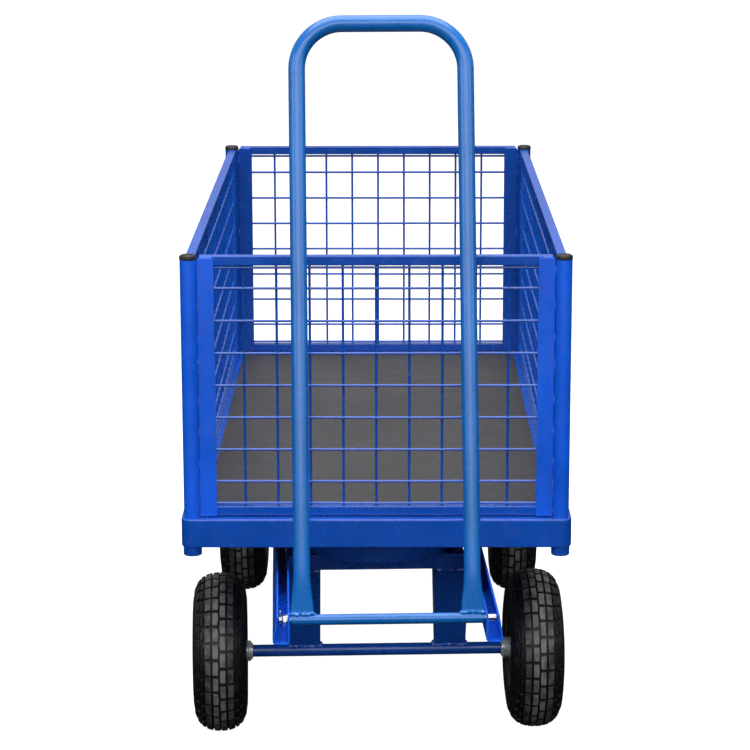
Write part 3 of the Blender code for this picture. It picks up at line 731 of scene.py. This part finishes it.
def build_post(end, side, body):
    node = f"{end}_{side}_post"
    low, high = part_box(node)
    radius = (high.x - low.x) / 2
    bore = radius - POST_WALL
    place = Matrix.Translation(((low.x + high.x) / 2, (low.y + high.y) / 2, 0))
    profile = [(bore, low.z + 0.0008), (radius - 0.0012, low.z), (radius, low.z + 0.0012)]
    profile += [(radius, high.z - 0.0004), (radius - 0.0004, high.z), (bore, high.z)]
    # Front posts take the painted light, rear posts the painted shade.
    piece(f"{node}_tube", [turned(profile, 48)], [POST_LIT_AND_SHADED_PAINT[end]], body, [node], place)
    node = f"{end}_{side}_cap"
    foot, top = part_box(node)
    skirt, rim = high.z + GAP, top.z
    lip = radius + 0.0005
    profile = [(0.0, rim - 0.0009), (radius - 0.0055, rim - 0.0009), (radius - 0.0048, rim - 0.0002)]
    profile += [(radius - 0.0040, rim), (radius - 0.0025, rim), (radius - 0.0008, rim - 0.0009)]
    profile += [(lip, rim - 0.0026), (lip, skirt + 0.0005), (lip - 0.0005, skirt), (bore - GAP, skirt)]
    profile += [(bore - GAP, foot.z), (bore - 0.002, foot.z), (bore - 0.002, skirt), (0.0, skirt)]
    piece(f"{node}_plug", [turned(profile, 48)], [BLACK_PLASTIC], body, [node], place)


def build_side(side, sign):
    """A side panel: rails, stiles, flat braces outside, spigots under it, and wires."""
    body = f"{side}_side"
    low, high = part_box(f"{side}_side_frame")
    middle = middle_of(f"{side}_side_frame")
    x = middle.x
    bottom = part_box(f"{side}_side_mesh")[0].z - GAP - RAIL
    half = RAIL / 2
    levels = {"bottom": bottom, "top": high.z - RAIL}
    solids = []
    for z in levels.values():
        solids.append(box((x - half, low.y, z), (x + half, high.y, z + RAIL), 0.0016, 3))
    inner_low, inner_high = bottom + RAIL, levels["top"]
    upright = (inner_low - 0.001, inner_high + 0.001)
    for end in (-1, 1):
        outer = middle.y + end * ((high.y - low.y) / 2 - 0.001)
        near, far = sorted((outer, outer - end * RAIL))
        corners = ((x - half + 0.001, near, upright[0]), (x + half - 0.001, far, upright[1]))
        solids.append(box(*corners, 0.0016, 3))
        brace = middle.y + end * SIDE_BRACE_SPACING / 2
        outside = (x + sign * (half - 0.001), x + sign * (half - 0.005))
        solids.append(span(*outside, (brace - 0.008, brace + 0.008), upright, 0.0006))
        for z in (inner_low, inner_high):
            for y in (near if end > 0 else far, brace - 0.008, brace + 0.008):
                ends = ((x - half + 0.002, y, z), (x + half - 0.002, y, z))
                solids.append(weld(*ends, 0.0015, y + z, 0.6))
        spigot = SPIGOT_DIAMETER / 2
        profile = [(0.0, low.z), (spigot - 0.002, low.z), (spigot, low.z + 0.002)]
        profile += [(spigot, bottom + 0.002), (0.0, bottom + 0.002)]
        place = Matrix.Translation((x, middle.y + end * SPIGOT_SPACING / 2, 0))
        solids.append(moved(turned(profile, 24), place))
    looks = [BLUE_PAINT, BLUE_WELD]
    piece(f"{side}_side_rails", solids, looks, body, [f"{side}_side_frame"])
    wires = []
    mesh_x = middle_of(f"{side}_side_mesh").x
    x = mesh_x + sign * WIRE_OFFSET
    for number, y in enumerate(evenly(middle.y, MESH_PITCH, 22)):
        wires.append(wire((x, y, inner_low - 0.004), (x, y, inner_high + 0.004), number + 40))
    x, near, far = mesh_x - sign * WIRE_OFFSET, low.y + RAIL - 0.002, high.y - RAIL + 0.002
    for number, z in enumerate(level_heights(inner_low, inner_high)):
        wires.append(wire((x, near, z), (x, far, z), number + 70))
    piece(f"{side}_side_wires", wires, [BLUE_PAINT], body, [f"{side}_side_mesh"])


# ---------------------------------------------------------------- wheels

SECTION_MIDDLE = 0.086
SECTION_HALF = 0.0437
SECTION_POWER = 2.0 / 2.4
BEAD_HALF = 0.027
WALL_RINGS = (0.0535, 0.068, 0.084)  # moulded rings, by their arc length from the crown
WALL_RING = 0.0006                   # how far a ring stands out


def tyre_skin():
    """Arc length, across and radius of the tyre's outer skin, from the crown to the bead."""
    angles = np.linspace(0, pi / 2, 60)
    across = SECTION_HALF * np.sin(angles) ** SECTION_POWER
    radius = SECTION_MIDDLE + (TYRE_RADIUS - SECTION_MIDDLE) * np.cos(angles) ** SECTION_POWER
    lower = np.linspace(0, pi / 2, 30)[1:]
    across = np.append(across, BEAD_HALF + (SECTION_HALF - BEAD_HALF) * np.cos(lower) ** 0.8)
    radius = np.append(radius, SECTION_MIDDLE - (SECTION_MIDDLE - RIM_RADIUS - 0.001) * np.sin(lower))
    arc_length = np.append(0, np.cumsum(np.hypot(np.diff(across), np.diff(radius))))
    return arc_length, across, radius


ARC, SKIN_ACROSS, SKIN_RADIUS = tyre_skin()
SLOPE_ACROSS, SLOPE_RADIUS = np.gradient(SKIN_ACROSS, ARC), np.gradient(SKIN_RADIUS, ARC)


def skin_point(along, depth):
    """(across, radius) of the skin at a signed arc length from the crown, sunk by depth."""
    reach = abs(along)
    across, radius, slope_across, slope_radius = (
        np.interp(reach, ARC, values) for values in (SKIN_ACROSS, SKIN_RADIUS, SLOPE_ACROSS, SLOPE_RADIUS)
    )
    return copysign(across + slope_radius * depth, along), radius - slope_across * depth


def around(along, depth, angle):
    across, radius = skin_point(along, depth)
    return Vector((across, radius * sin(angle), radius * cos(angle)))


def carcass_depth(along):
    """How far the casing lies under the skin: tread grooves, then moulded rings on the wall."""
    reach = abs(along)
    groove = TREAD_DEPTH * min(1.0, max(0.0, (0.047 - reach) / 0.008))
    rings = sum(WALL_RING * np.exp(-(((reach - ring) / 0.0009) ** 2)) for ring in WALL_RINGS)
    return groove + WALL_RING - rings


def carcass():
    fine = [ring + step * 0.0006 for ring in WALL_RINGS for step in range(-3, 4)]
    reaches = sorted({round(float(value), 5) for value in (*np.linspace(0.0005, ARC[-1], 44), *fine)})
    places = [-value for value in reversed(reaches)] + reaches
    profile = []
    for along in places:
        across, radius = skin_point(along, carcass_depth(along))
        profile.append((radius, across))
    return turned(profile, 120, "X")


def tread_block(inner, outer, start, end, bulge, tone):
    """A tread block between two arc lengths and two angles; tone is the material of its top."""
    solid = bmesh.new()
    columns, rows = 2, 4

    def spot(i, j, inset, depth):
        share, turn = i / columns, j / rows
        low = inner - bulge * (1 - abs(2 * turn - 1))
        along = low + inset + (outer - low - 2 * inset) * share
        trim = inset / TYRE_RADIUS
        angle = start + trim + (end - start - 2 * trim) * turn
        return around(along, depth, angle)

    top = {}
    for i in range(columns + 1):
        for j in range(rows + 1):
            top[i, j] = solid.verts.new(spot(i, j, TREAD_EDGE, 0.0))
    for i in range(columns):
        for j in range(rows):
            face = solid.faces.new((top[i, j], top[i + 1, j], top[i + 1, j + 1], top[i, j + 1]))
            face.material_index = tone
    loop = [(i, 0) for i in range(columns)] + [(columns, j) for j in range(rows)]
    loop += [(i, rows) for i in range(columns, 0, -1)] + [(0, j) for j in range(rows, 0, -1)]
    rings = [[top[key] for key in loop]]
    for depth in (TREAD_EDGE, TREAD_DEPTH + 0.0010):
        rings.append([solid.verts.new(spot(*key, 0.0, depth)) for key in loop])
    for upper, lower in zip(rings, rings[1:]):
        for k in range(len(loop)):
            after = (k + 1) % len(loop)
            solid.faces.new((upper[k], upper[after], lower[after], lower[k]))
    solid.faces.new(rings[-1])
    return solid


TREAD_ROWS = (
    # inner and outer edge from the crown, first and last share of a pitch, bulge, material
    (0.0014, 0.0106, 0.00, 0.84, 0.0008, 1),
    # the second row's tops take the bluish rubber: partly dust, partly painted sheen
    (0.0132, 0.0238, 0.00, 0.86, 0.0, 2),
    (0.0266, 0.0330, 0.08, 0.66, 0.0, 0),
    (0.0350, 0.0435, 0.30, 0.82, 0.0, 0),
)


def tyre():
    solids = [carcass()]
    pitch = tau / TREAD_PITCHES
    for step in range(TREAD_PITCHES):
        for sign in (-1, 1):
            start = (step + (0.5 if sign > 0 else 0.0)) * pitch
            for inner, outer, first, last, bulge, tone in TREAD_ROWS:
                block = tread_block(inner, outer, start + first * pitch, start + last * pitch, bulge, tone)
                block.transform(Matrix.Diagonal((sign, 1, 1, 1)))
                solids.append(block)
    return solids


def rim_solids():
    """A pressed rim in two dished halves, bolted through its disc."""
    seat, flange, bore = RIM_RADIUS, RIM_RADIUS + 0.009, 0.0175 + GAP
    side = [(bore, 0.004), (0.033, 0.004), (0.0355, 0.0048), (0.0375, 0.0070), (0.0415, 0.0200)]
    side += [(0.0440, 0.0280), (0.0480, 0.0320), (flange - 0.003, 0.0345), (flange - 0.001, 0.0372)]
    side += [(flange, 0.0400), (flange + 0.0012, 0.0402), (flange + 0.0016, 0.0385)]
    side += [(flange + 0.0004, 0.0350), (seat + 0.004, 0.0318), (seat, 0.0290)]
    return [turned(facing(side, -1) + side[::-1], 72, "X")]


def bolt_solids(sign):
    """Four bolts on the rim's disc: a hexagon head outside, a nut and a stub inside."""
    solids = []
    for step in range(4):
        angle = pi / 4 + step * pi / 2
        place = Matrix.Translation((0, BOLT_CIRCLE * cos(angle), BOLT_CIRCLE * sin(angle)))
        for face, height in ((sign, 0.0042), (-sign, 0.0052)):
            start = 0.004
            head = [(0.0, start), (0.0057, start), (0.0057, start + height - 0.0008)]
            head += [(0.0050, start + height), (0.0, start + height)]
            solids.append(moved(turned(facing(head, face), 6, "X"), place))
        stub = [(0.0, 0.0), (0.003, 0.0), (0.003, 0.0112), (0.0024, 0.0118), (0.0, 0.0118)]
        solids.append(moved(turned(facing(stub, -sign), 16, "X"), place))
    return solids


def hub_solids(node, sign):
    """The bearing tube: rolled collars with grooves at both ends."""
    low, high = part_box(node)
    centre = (low.x + high.x) / 2
    half = (high.x - low.x) / 2
    offset = abs(centre) - WHEEL_X
    inner, outer = offset - half, offset + half
    bore = AXLE_RADIUS + GAP
    profile = [(bore, inner), (0.0128, inner), (0.0140, inner + 0.0010), (0.0140, inner + 0.0030)]
    ring = ((0.0168, 0.0), (0.0175, 0.0007), (0.0175, 0.0026), (0.0166, 0.0033), (0.0158, 0.0036))
    for start in (0.0034, 0.0074, 0.0114):
        profile += [(radius, inner + start + along) for radius, along in ring]
    profile += [(0.0170, inner + 0.0160), (0.0172, outer - 0.006), (0.0172, outer - 0.0015)]
    profile += [(0.0158, outer), (bore, outer)]
    return [turned(facing(profile, sign), 64, "X")]


def cap_solids(node, sign):
    """A domed push cap on the axle's end."""
    low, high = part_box(node)
    start, end = sorted((abs(low.x) - WHEEL_X, abs(high.x) - WHEEL_X))
    bore = AXLE_RADIUS + GAP
    profile = [(bore, start), (0.0128, start), (0.0130, start + 0.0006), (0.0130, start + 0.0026)]
    profile += [(0.0122, start + 0.0032), (0.0116, end - 0.0035), (0.0096, end - 0.0012)]
    profile += [(0.0050, end - 0.0002), (0.0, end), (0.0, end - 0.003), (bore, end - 0.003)]
    return [turned(facing(profile, sign), 40, "X")]


def valve_solids(sign):
    """A short rubber valve stem with a threaded cap, leaning out of the rim's dish."""
    tilt = Matrix.Translation((sign * 0.0250, 0, 0.0400)) @ Matrix.Rotation(sign * radians(68), 4, "Y")
    stem = [(0.0, -0.004), (0.0042, -0.004), (0.0040, 0.001)]
    stem += [(0.0030, 0.004), (0.0028, 0.009), (0.0, 0.009)]
    cap = [(0.0, 0.0088), (0.0034, 0.0088), (0.0034, 0.0142), (0.0028, 0.0150), (0.0, 0.0150)]
    return [moved(turned(stem, 20), tilt), moved(turned(cap, 12), tilt)]


WHEEL_X = abs(middle_of("rear_left_tyre").x)


def build_wheel(end, side, sign, number):
    corner = f"{end}_{side}"
    body = f"wheel_{corner}"
    place = Matrix.Translation((sign * WHEEL_X, 0, TYRE_RADIUS))
    if end == "front":
        place = BOGIE @ place
    else:
        place = Matrix.Translation((0, middle_of("rear_axle").y, 0)) @ place
    place = place @ Matrix.Rotation(number * WHEEL_TURN, 4, "X")
    treads = [RUBBER, DUSTY_RUBBER, SHEEN_SHOULDER_RUBBER]
    piece(f"{corner}_tyre_tread", tyre(), treads, body, [f"{corner}_tyre"], place, 30)
    rim = rim_solids() + [coloured(bolt, 1) for bolt in bolt_solids(sign)]
    piece(f"{corner}_rim_dish", rim, [RIM_ENAMEL, ZINC], body, [f"{corner}_rim"], place)
    hub = hub_solids(f"rear_{side}_hub", sign)
    piece(f"{corner}_hub_tube", hub, [DULL_ZINC], body, [f"{corner}_hub"], place)
    cap = cap_solids(f"rear_{side}_axle_cap", sign)
    piece(f"{corner}_axle_plug", cap, [BLACK_PLASTIC], body, [f"{corner}_axle_cap"], place)
    piece(f"{corner}_valve", valve_solids(sign), [BLACK_PLASTIC], body, (), place)


# ---------------------------------------------------------------- axles and legs

def leg_outline(reach, top):
    """A flat bar bent to a V, seen from the side, whose tip stands on the axle."""
    tip = TYRE_RADIUS + AXLE_RADIUS + GAP
    slope = (reach - LEG_FLAT) / (top - tip)
    across = LEG_PLATE * hypot(1.0, slope)
    notch = tip + (LEG_FLAT + across - LEG_PLATE) / slope + LEG_PLATE
    return [(-LEG_FLAT, tip), (LEG_FLAT, tip), (reach, top), (reach - across, top),
            (0.0, notch), (across - reach, top), (-reach, top)]


def build_legs(prefix, body, node, reach, top, matrix):
    """The legs with fillet welds where they stand on the axle and meet the steel above."""
    for side, sign in SIDES.items():
        middle = sign * LEG_MIDDLE
        start, end = middle - LEG_WIDTH / 2, middle + LEG_WIDTH / 2
        solids = [prism(leg_outline(reach, top), start, end, "X", 0.0009)]
        tip = TYRE_RADIUS + AXLE_RADIUS
        for face in (-1, 1):
            y = face * (LEG_FLAT - 0.0005)
            ends = ((x, y, tip - 0.0012) for x in (start - 0.004, end + 0.004))
            solids.append(weld(*ends, 0.0030, sign + face))
            ends = ((x, face * reach, top - 0.001) for x in (start, end))
            solids.append(weld(*ends, 0.0022, sign - face))
        for x in (start, end):
            solids.append(weld((x, -LEG_FLAT, tip), (x, LEG_FLAT, tip), 0.0034, x * 50))
        looks = [SHADED_BLUE_PAINT, SHADED_BLUE_WELD]
        piece(f"{prefix}_leg_{side}_bar", solids, looks, body, [f"{node}_{side}"], matrix)


def build_axle(name, body, matrix):
    bar = turned(bar_profile(AXLE_RADIUS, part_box("rear_axle")[1].x, 0.0012), 40, "X")
    place = matrix @ Matrix.Translation((0, 0, TYRE_RADIUS))
    piece(f"{name}_bar", [bar], [SHADED_BLUE_PAINT], body, [name], place)


# ---------------------------------------------------------------- bogie

def build_turntable():
    plate_low, plate_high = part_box("turntable_plate")
    x, y = (plate_high.x - plate_low.x) / 2, (plate_high.y - plate_low.y) / 2
    place = Matrix.Translation(KING_PIN)
    plate = box((-x, -y, plate_low.z), (x, y, plate_high.z), 0.0012)
    piece("turntable_plate_steel", [plate], [SHADED_BLUE_PAINT], "deck", ["turntable_plate"], place)
    for name, body, flip in (("turntable_upper_ring", "deck", 1), ("turntable_lower_ring", "bogie", -1)):
        low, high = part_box(name)
        outer, inner, lip = (high.x - low.x) / 2, 0.095, 0.008
        back, front = (high.z, low.z) if flip > 0 else (low.z, high.z)
        profile = [(inner, back), (outer - 0.004, back), (outer - 0.001, back - flip * 0.001)]
        profile += [(outer, back - flip * 0.004), (outer, front), (outer - lip, front)]
        profile += [(outer - lip, back - flip * lip), (inner + 0.0008, back - flip * lip)]
        profile += [(inner, back - flip * (lip - 0.0008))]
        piece(f"{name}_pressing", [turned(profile, 96)], [SHADED_BLUE_PAINT], body, [name], place)
    low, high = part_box("king_bolt")
    half = (high.x - low.x) / 2
    disc = [(0.0, low.z), (half - 0.001, low.z), (half, low.z + 0.001), (half, low.z + 0.004)]
    disc += [(half - 0.001, low.z + 0.005), (0.008, low.z + 0.005)]
    disc += [(0.008, high.z - 0.008), (0.0, high.z - 0.008)]
    head = [(0.0, high.z - 0.008), (0.0125, high.z - 0.008), (0.0130, high.z - 0.0074)]
    head += [(0.0130, high.z - 0.001), (0.0115, high.z), (0.0, high.z)]
    bolt = [turned(disc, 64), turned(head, 6)]
    piece("king_bolt_steel", bolt, [ZINC], "bogie", ["king_bolt"], place)


def build_beams(low, high):
    for name, sign in (("front", -1), ("rear", 1)):
        node = f"bogie_beam_{name}"
        half = ARM_INNER - GAP
        near = sign * BEAM_REACH - BEAM_DEPTH / 2
        solids = [box((-half, near, low), (half, near + BEAM_DEPTH, high), 0.0018, 3)]
        for side in SIDES.values():
            for y in (near, near + BEAM_DEPTH):
                ends = ((side * half, y, z) for z in (low + 0.004, high - 0.001))
                solids.append(weld(*ends, 0.0022, side + y))
        piece(f"{node}_tube", solids, [SHADED_BLUE_PAINT, SHADED_BLUE_WELD], "bogie", [node], BOGIE)


def arm_outline():
    """A channel with round folds, open at the top, drawn for the right arm."""
    near, far, low, high = ARM_INNER, ARM_INNER + ARM_WIDTH, ARM_BOTTOM, ARM_BOTTOM + ARM_HEIGHT
    fold, wall = ARM_FOLD, ARM_WALL
    outline = [(near, high)] + arc((near + fold, low + fold), fold, 180, 270, 6)
    outline += arc((far - fold, low + fold), fold, 270, 360, 6)
    outline += [(far - ARM_LEAN, high), (far - ARM_LEAN - wall, high)]
    outline += arc((far - fold, low + fold), fold - wall, 360, 270, 4)
    outline += arc((near + fold, low + fold), fold - wall, 270, 180, 4) + [(near + wall, high)]
    return outline


def build_arms():
    for side, sign in SIDES.items():
        outline = [(sign * x, z) for x, z in arm_outline()]
        solids = [prism(outline, -ARM_REACH, ARM_TAIL, "Y", 0.0005)]
        node = f"draw_arm_{side}"
        # The arms take the lighter blue: painted light.
        made = piece(f"{node}_channel", solids, [LIT_BLUE_PAINT], "bogie", [node], BOGIE)
        where = BOGIE @ PIVOT @ Matrix.Translation((sign * (ARM_INNER + ARM_WALL / 2), 0, 0))
        drill(made, [(where @ Matrix.Rotation(pi / 2, 4, "Y"), PIVOT_ROD / 2 + GAP)], 0.012)


def build_pivot():
    """The rod through both arms: a castle nut with its split pin on the left, a plain end on the right."""
    radius = PIVOT_ROD / 2
    place = BOGIE @ PIVOT
    bar = turned(bar_profile(radius, ARM_INNER + 0.017, 0.0015), 32, "X")
    piece("pivot_rod_steel", [bar], [ZINC], "bogie", ["pivot_rod"], place)
    start = -(ARM_INNER + ARM_WALL + GAP)
    bore = radius + GAP
    washer = [(bore, 0.0), (0.0088, 0.0), (0.0088, 0.0012), (bore, 0.0012)]
    nut = [(bore, 0.0012), (0.0082, 0.0012), (0.0086, 0.0018), (0.0086, 0.0060)]
    nut += [(0.0076, 0.0066), (0.0070, 0.0080), (bore, 0.0080)]
    solids = []
    for profile, sides in ((washer, 40), (nut, 6)):
        solids.append(turned([(size, start - along) for size, along in profile], sides, "X"))
    pin_x = start - 0.0105
    solids.append(rod((pin_x, 0, 0.0100), (pin_x, 0, -0.0092), 0.0011, 12))
    solids.append(rod((pin_x, 0.0002, -0.0080), (pin_x + 0.0030, 0.0030, -0.0118), 0.0009, 12))
    turns = (tau * k / 16 for k in range(16))
    loop = [(pin_x, 0.0026 * sin(turn), 0.0122 - 0.0026 * cos(turn)) for turn in turns]
    solids.append(swept(loop, lambda travelled: round_section(0.0009, 10), closed=True))
    piece("pivot_nut_set", solids, [ZINC], "bogie", ["pivot_nut"], place)


# ---------------------------------------------------------------- draw handle

def handle_path():
    """The tube's middle line, from one foot over the grip to the other foot."""
    half, bend = HANDLE_SPACING / 2, HANDLE_BEND
    rise = HANDLE_LENGTH - bend
    left = [(-half, 0.0, z) for z in np.linspace(CROSS_TUBE / 2 - 0.002, HANDLE_FLARE * 1.5, 14)]
    left += [(-half, 0.0, z) for z in np.linspace(HANDLE_FLARE * 1.5, rise, 10)[1:-1]]
    turn = [radians(90 * step / 16) for step in range(17)]
    left += [(-half + bend * (1 - cos(angle)), 0.0, rise + bend * sin(angle)) for angle in turn]
    left += [(x, 0.0, HANDLE_LENGTH) for x in np.linspace(bend - half, 0.0, 4)[1:-1]]
    return left + [(-x, y, z) for x, y, z in reversed(left)]


def path_length(path):
    return sum((Vector(b) - Vector(a)).length for a, b in zip(path, path[1:]))


def build_handle():
    path = handle_path()
    whole = path_length(path)
    tube = HANDLE_TUBE / 2

    def section(travelled):
        share = min(travelled, whole - travelled) / HANDLE_FLARE
        share = min(1.0, max(0.0, share))
        round_part = share * share * (3 - 2 * share)
        wide = HANDLE_FOOT[0] + (tube - HANDLE_FOOT[0]) * round_part
        deep = HANDLE_FOOT[1] + (tube - HANDLE_FOOT[1]) * round_part ** 0.7
        return [(wide * a, deep * b) for a, b in round_section(1.0, 40)]

    solids = [swept(path, section)]
    half = HANDLE_SPACING / 2
    for sign in SIDES.values():
        for face in (-1, 1):
            y = face * (HANDLE_FOOT[1] - 0.0005)
            height = CROSS_TUBE / 2 + 0.0008
            ends = ((sign * half + side * HANDLE_FOOT[0] * 1.12, y, height) for side in (-1, 1))
            solids.append(weld(*ends, 0.0030, sign * 3 + face, 0.7))
        for side in (-1, 1):
            x = sign * half + side * HANDLE_FOOT[0]
            ends = ((x, y, CROSS_TUBE / 2) for y in (-0.005, 0.005))
            solids.append(weld(*ends, 0.0028, x * 70, 0.6))
    looks = [LIT_HANDLE_PAINT, LIT_HANDLE_WELD]
    piece("draw_handle_tube", solids, looks, "handle", ["draw_handle"], HANDLE)
    profile = bar_profile(CROSS_TUBE / 2, ARM_INNER - 0.001, 0.0006, PIVOT_ROD / 2 + GAP)
    cross, stands_for = turned(profile, 40, "X"), ["handle_cross_tube"]
    piece("handle_cross_sleeve", [cross], [LIT_HANDLE_PAINT], "handle", stands_for, HANDLE)


# ---------------------------------------------------------------- studio

CAMERA_PLACE = Vector((0.014, -4.3756, 1.5441))
CAMERA_DOWN = radians(13.010)
CAMERA_YAW = radians(-0.232)
CAMERA_ROLL = radians(-0.1)
CAMERA_LENS = 125.8


def build_camera():
    data = bpy.data.cameras.new("camera")
    data.lens = CAMERA_LENS
    data.sensor_width = 36.0
    data.clip_end = 100.0
    camera = bpy.data.objects.new("camera", data)
    SCENE.collection.objects.link(camera)
    turn = Matrix.Rotation(-CAMERA_YAW, 4, "Z") @ Matrix.Rotation(pi / 2 - CAMERA_DOWN, 4, "X")
    camera.matrix_world = Matrix.Translation(CAMERA_PLACE) @ turn @ Matrix.Rotation(CAMERA_ROLL, 4, "Z")
    SCENE.camera = camera


def softbox(name, place, target, width, height, radiance, glossy=True):
    """A rectangular lamp that shines at target with the same brightness at any size."""
    data = bpy.data.lights.new(name, "AREA")
    data.shape = "RECTANGLE"
    data.size, data.size_y = width, height
    data.energy = radiance * pi * width * height
    lamp = bpy.data.objects.new(name, data)
    SCENE.collection.objects.link(lamp)
    lamp.location = place
    lamp.rotation_euler = (Vector(target) - Vector(place)).to_track_quat("-Z", "Y").to_euler()
    lamp.visible_camera = False
    lamp.visible_glossy = glossy


def build_world():
    """A pale room: even light above the horizon, more of it behind the truck, and little below."""
    world = bpy.data.worlds.new("room")
    world.use_nodes = True
    SCENE.world = world
    nodes, links = world.node_tree.nodes, world.node_tree.links
    nodes["Background"].inputs["Color"].default_value = (1, 1, 1, 1)
    coords = nodes.new("ShaderNodeTexCoord")
    split = nodes.new("ShaderNodeSeparateXYZ")
    level = nodes.new("ShaderNodeMapRange")
    set_range(level, 0.0, 0.15, 0.03, 1.0)
    links.new(coords.outputs["Generated"], split.inputs["Vector"])
    links.new(split.outputs["Z"], level.inputs["Value"])
    backdrop = nodes.new("ShaderNodeMapRange")
    set_range(backdrop, 0.0, 0.9, 0.18, 0.34)
    links.new(split.outputs["Y"], backdrop.inputs["Value"])
    strength = nodes.new("ShaderNodeMath")
    strength.operation = "MULTIPLY"
    links.new(level.outputs["Result"], strength.inputs[0])
    links.new(backdrop.outputs["Result"], strength.inputs[1])
    links.new(strength.outputs["Value"], nodes["Background"].inputs["Strength"])


def build_floor():
    """A plain white floor that curves up into a wall far away, all round the truck."""
    mesh = bpy.data.meshes.new("floor")
    flat, bend, top = 30.0, 6.0, 60.0
    turns = (radians(15 * step) for step in range(1, 7))
    profile = [(0.0, 0.0), (flat, 0.0)]
    profile += [(flat + bend * sin(turn), bend - bend * cos(turn)) for turn in turns]
    solid = turned(profile + [(flat + bend, top)], 64, closed=False)
    solid.to_mesh(mesh)
    solid.free()
    look = bpy.data.materials.new("floor")
    look.use_nodes = True
    shader = look.node_tree.nodes["Principled BSDF"]
    shader.inputs["Base Color"].default_value = (0.3, 0.3, 0.3, 1)
    shader.inputs["Roughness"].default_value = 1.0
    shader.inputs["Specular IOR Level"].default_value = 0.0
    shader.inputs["Emission Color"].default_value = (1, 1, 1, 1)
    shader.inputs["Emission Strength"].default_value = 0.97
    mesh.materials.append(look)
    floor = bpy.data.objects.new("floor", mesh)
    SCENE.collection.objects.link(floor)
    floor.visible_diffuse = False
    floor.visible_glossy = False
    floor.visible_shadow = False


def build_studio():
    build_camera()
    build_world()
    build_floor()
    target = (0, 0, 0.6)
    softbox("overhead", (0, 0.1, 4.2), (0, 0.1, 0), 4.0, 4.5, 2.4)
    softbox("overhead_fill", (0, 0.1, 4.3), (0, 0.1, 0), 4.0, 4.5, 3.6, glossy=False)
    softbox("front_high", (0, -3.2, 4.6), target, 5.0, 3.0, 1.5, glossy=False)
    softbox("front_low", (0, -2.9, 0.75), (0, 0, 0.5), 4.0, 0.7, 2.0, glossy=False)
    softbox("front", (0, -5.2, 3.1), target, 6.0, 2.6, 2.2)
    softbox("front_left", (-4.6, -3.2, 2.8), target, 3.2, 2.6, 1.8)
    softbox("front_right", (4.6, -3.2, 2.8), target, 3.2, 2.6, 1.5)
    softbox("left", (-5.0, 0.6, 2.0), (0, 0, 0.4), 3.0, 2.0, 1.3, glossy=False)
    softbox("right", (5.0, 0.6, 2.0), (0, 0, 0.4), 3.0, 2.0, 1.3, glossy=False)
    softbox("rear", (0, 5.5, 3.0), target, 4.0, 2.4, 1.3, glossy=False)
    SCENE.view_settings.view_transform = "Standard"


# ---------------------------------------------------------------- assembly

build_studio()
build_deck()
for gate_end in ENDS:
    build_gate(gate_end)
for side_name, side_sign in SIDES.items():
    build_side(side_name, side_sign)
for wheel_number, (wheel_end, side_name) in enumerate(product(ENDS, SIDES), 1):
    build_wheel(wheel_end, side_name, SIDES[side_name], wheel_number)
beam_low, beam_high = (corner.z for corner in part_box("bogie_beam_front"))
REAR = Matrix.Translation((0, middle_of("rear_axle").y, 0))
build_legs("bogie", "bogie", "bogie_leg", BEAM_REACH + BEAM_DEPTH / 2, beam_low - GAP, BOGIE)
rear_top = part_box("rear_leg_left")[1]
build_legs("rear", "deck", "rear_leg", rear_top.y - middle_of("rear_axle").y, rear_top.z, REAR)
build_axle("front_axle", "bogie", BOGIE)
build_axle("rear_axle", "deck", REAR)
build_turntable()
build_beams(beam_low, beam_high)
build_arms()
build_pivot()
build_handle()
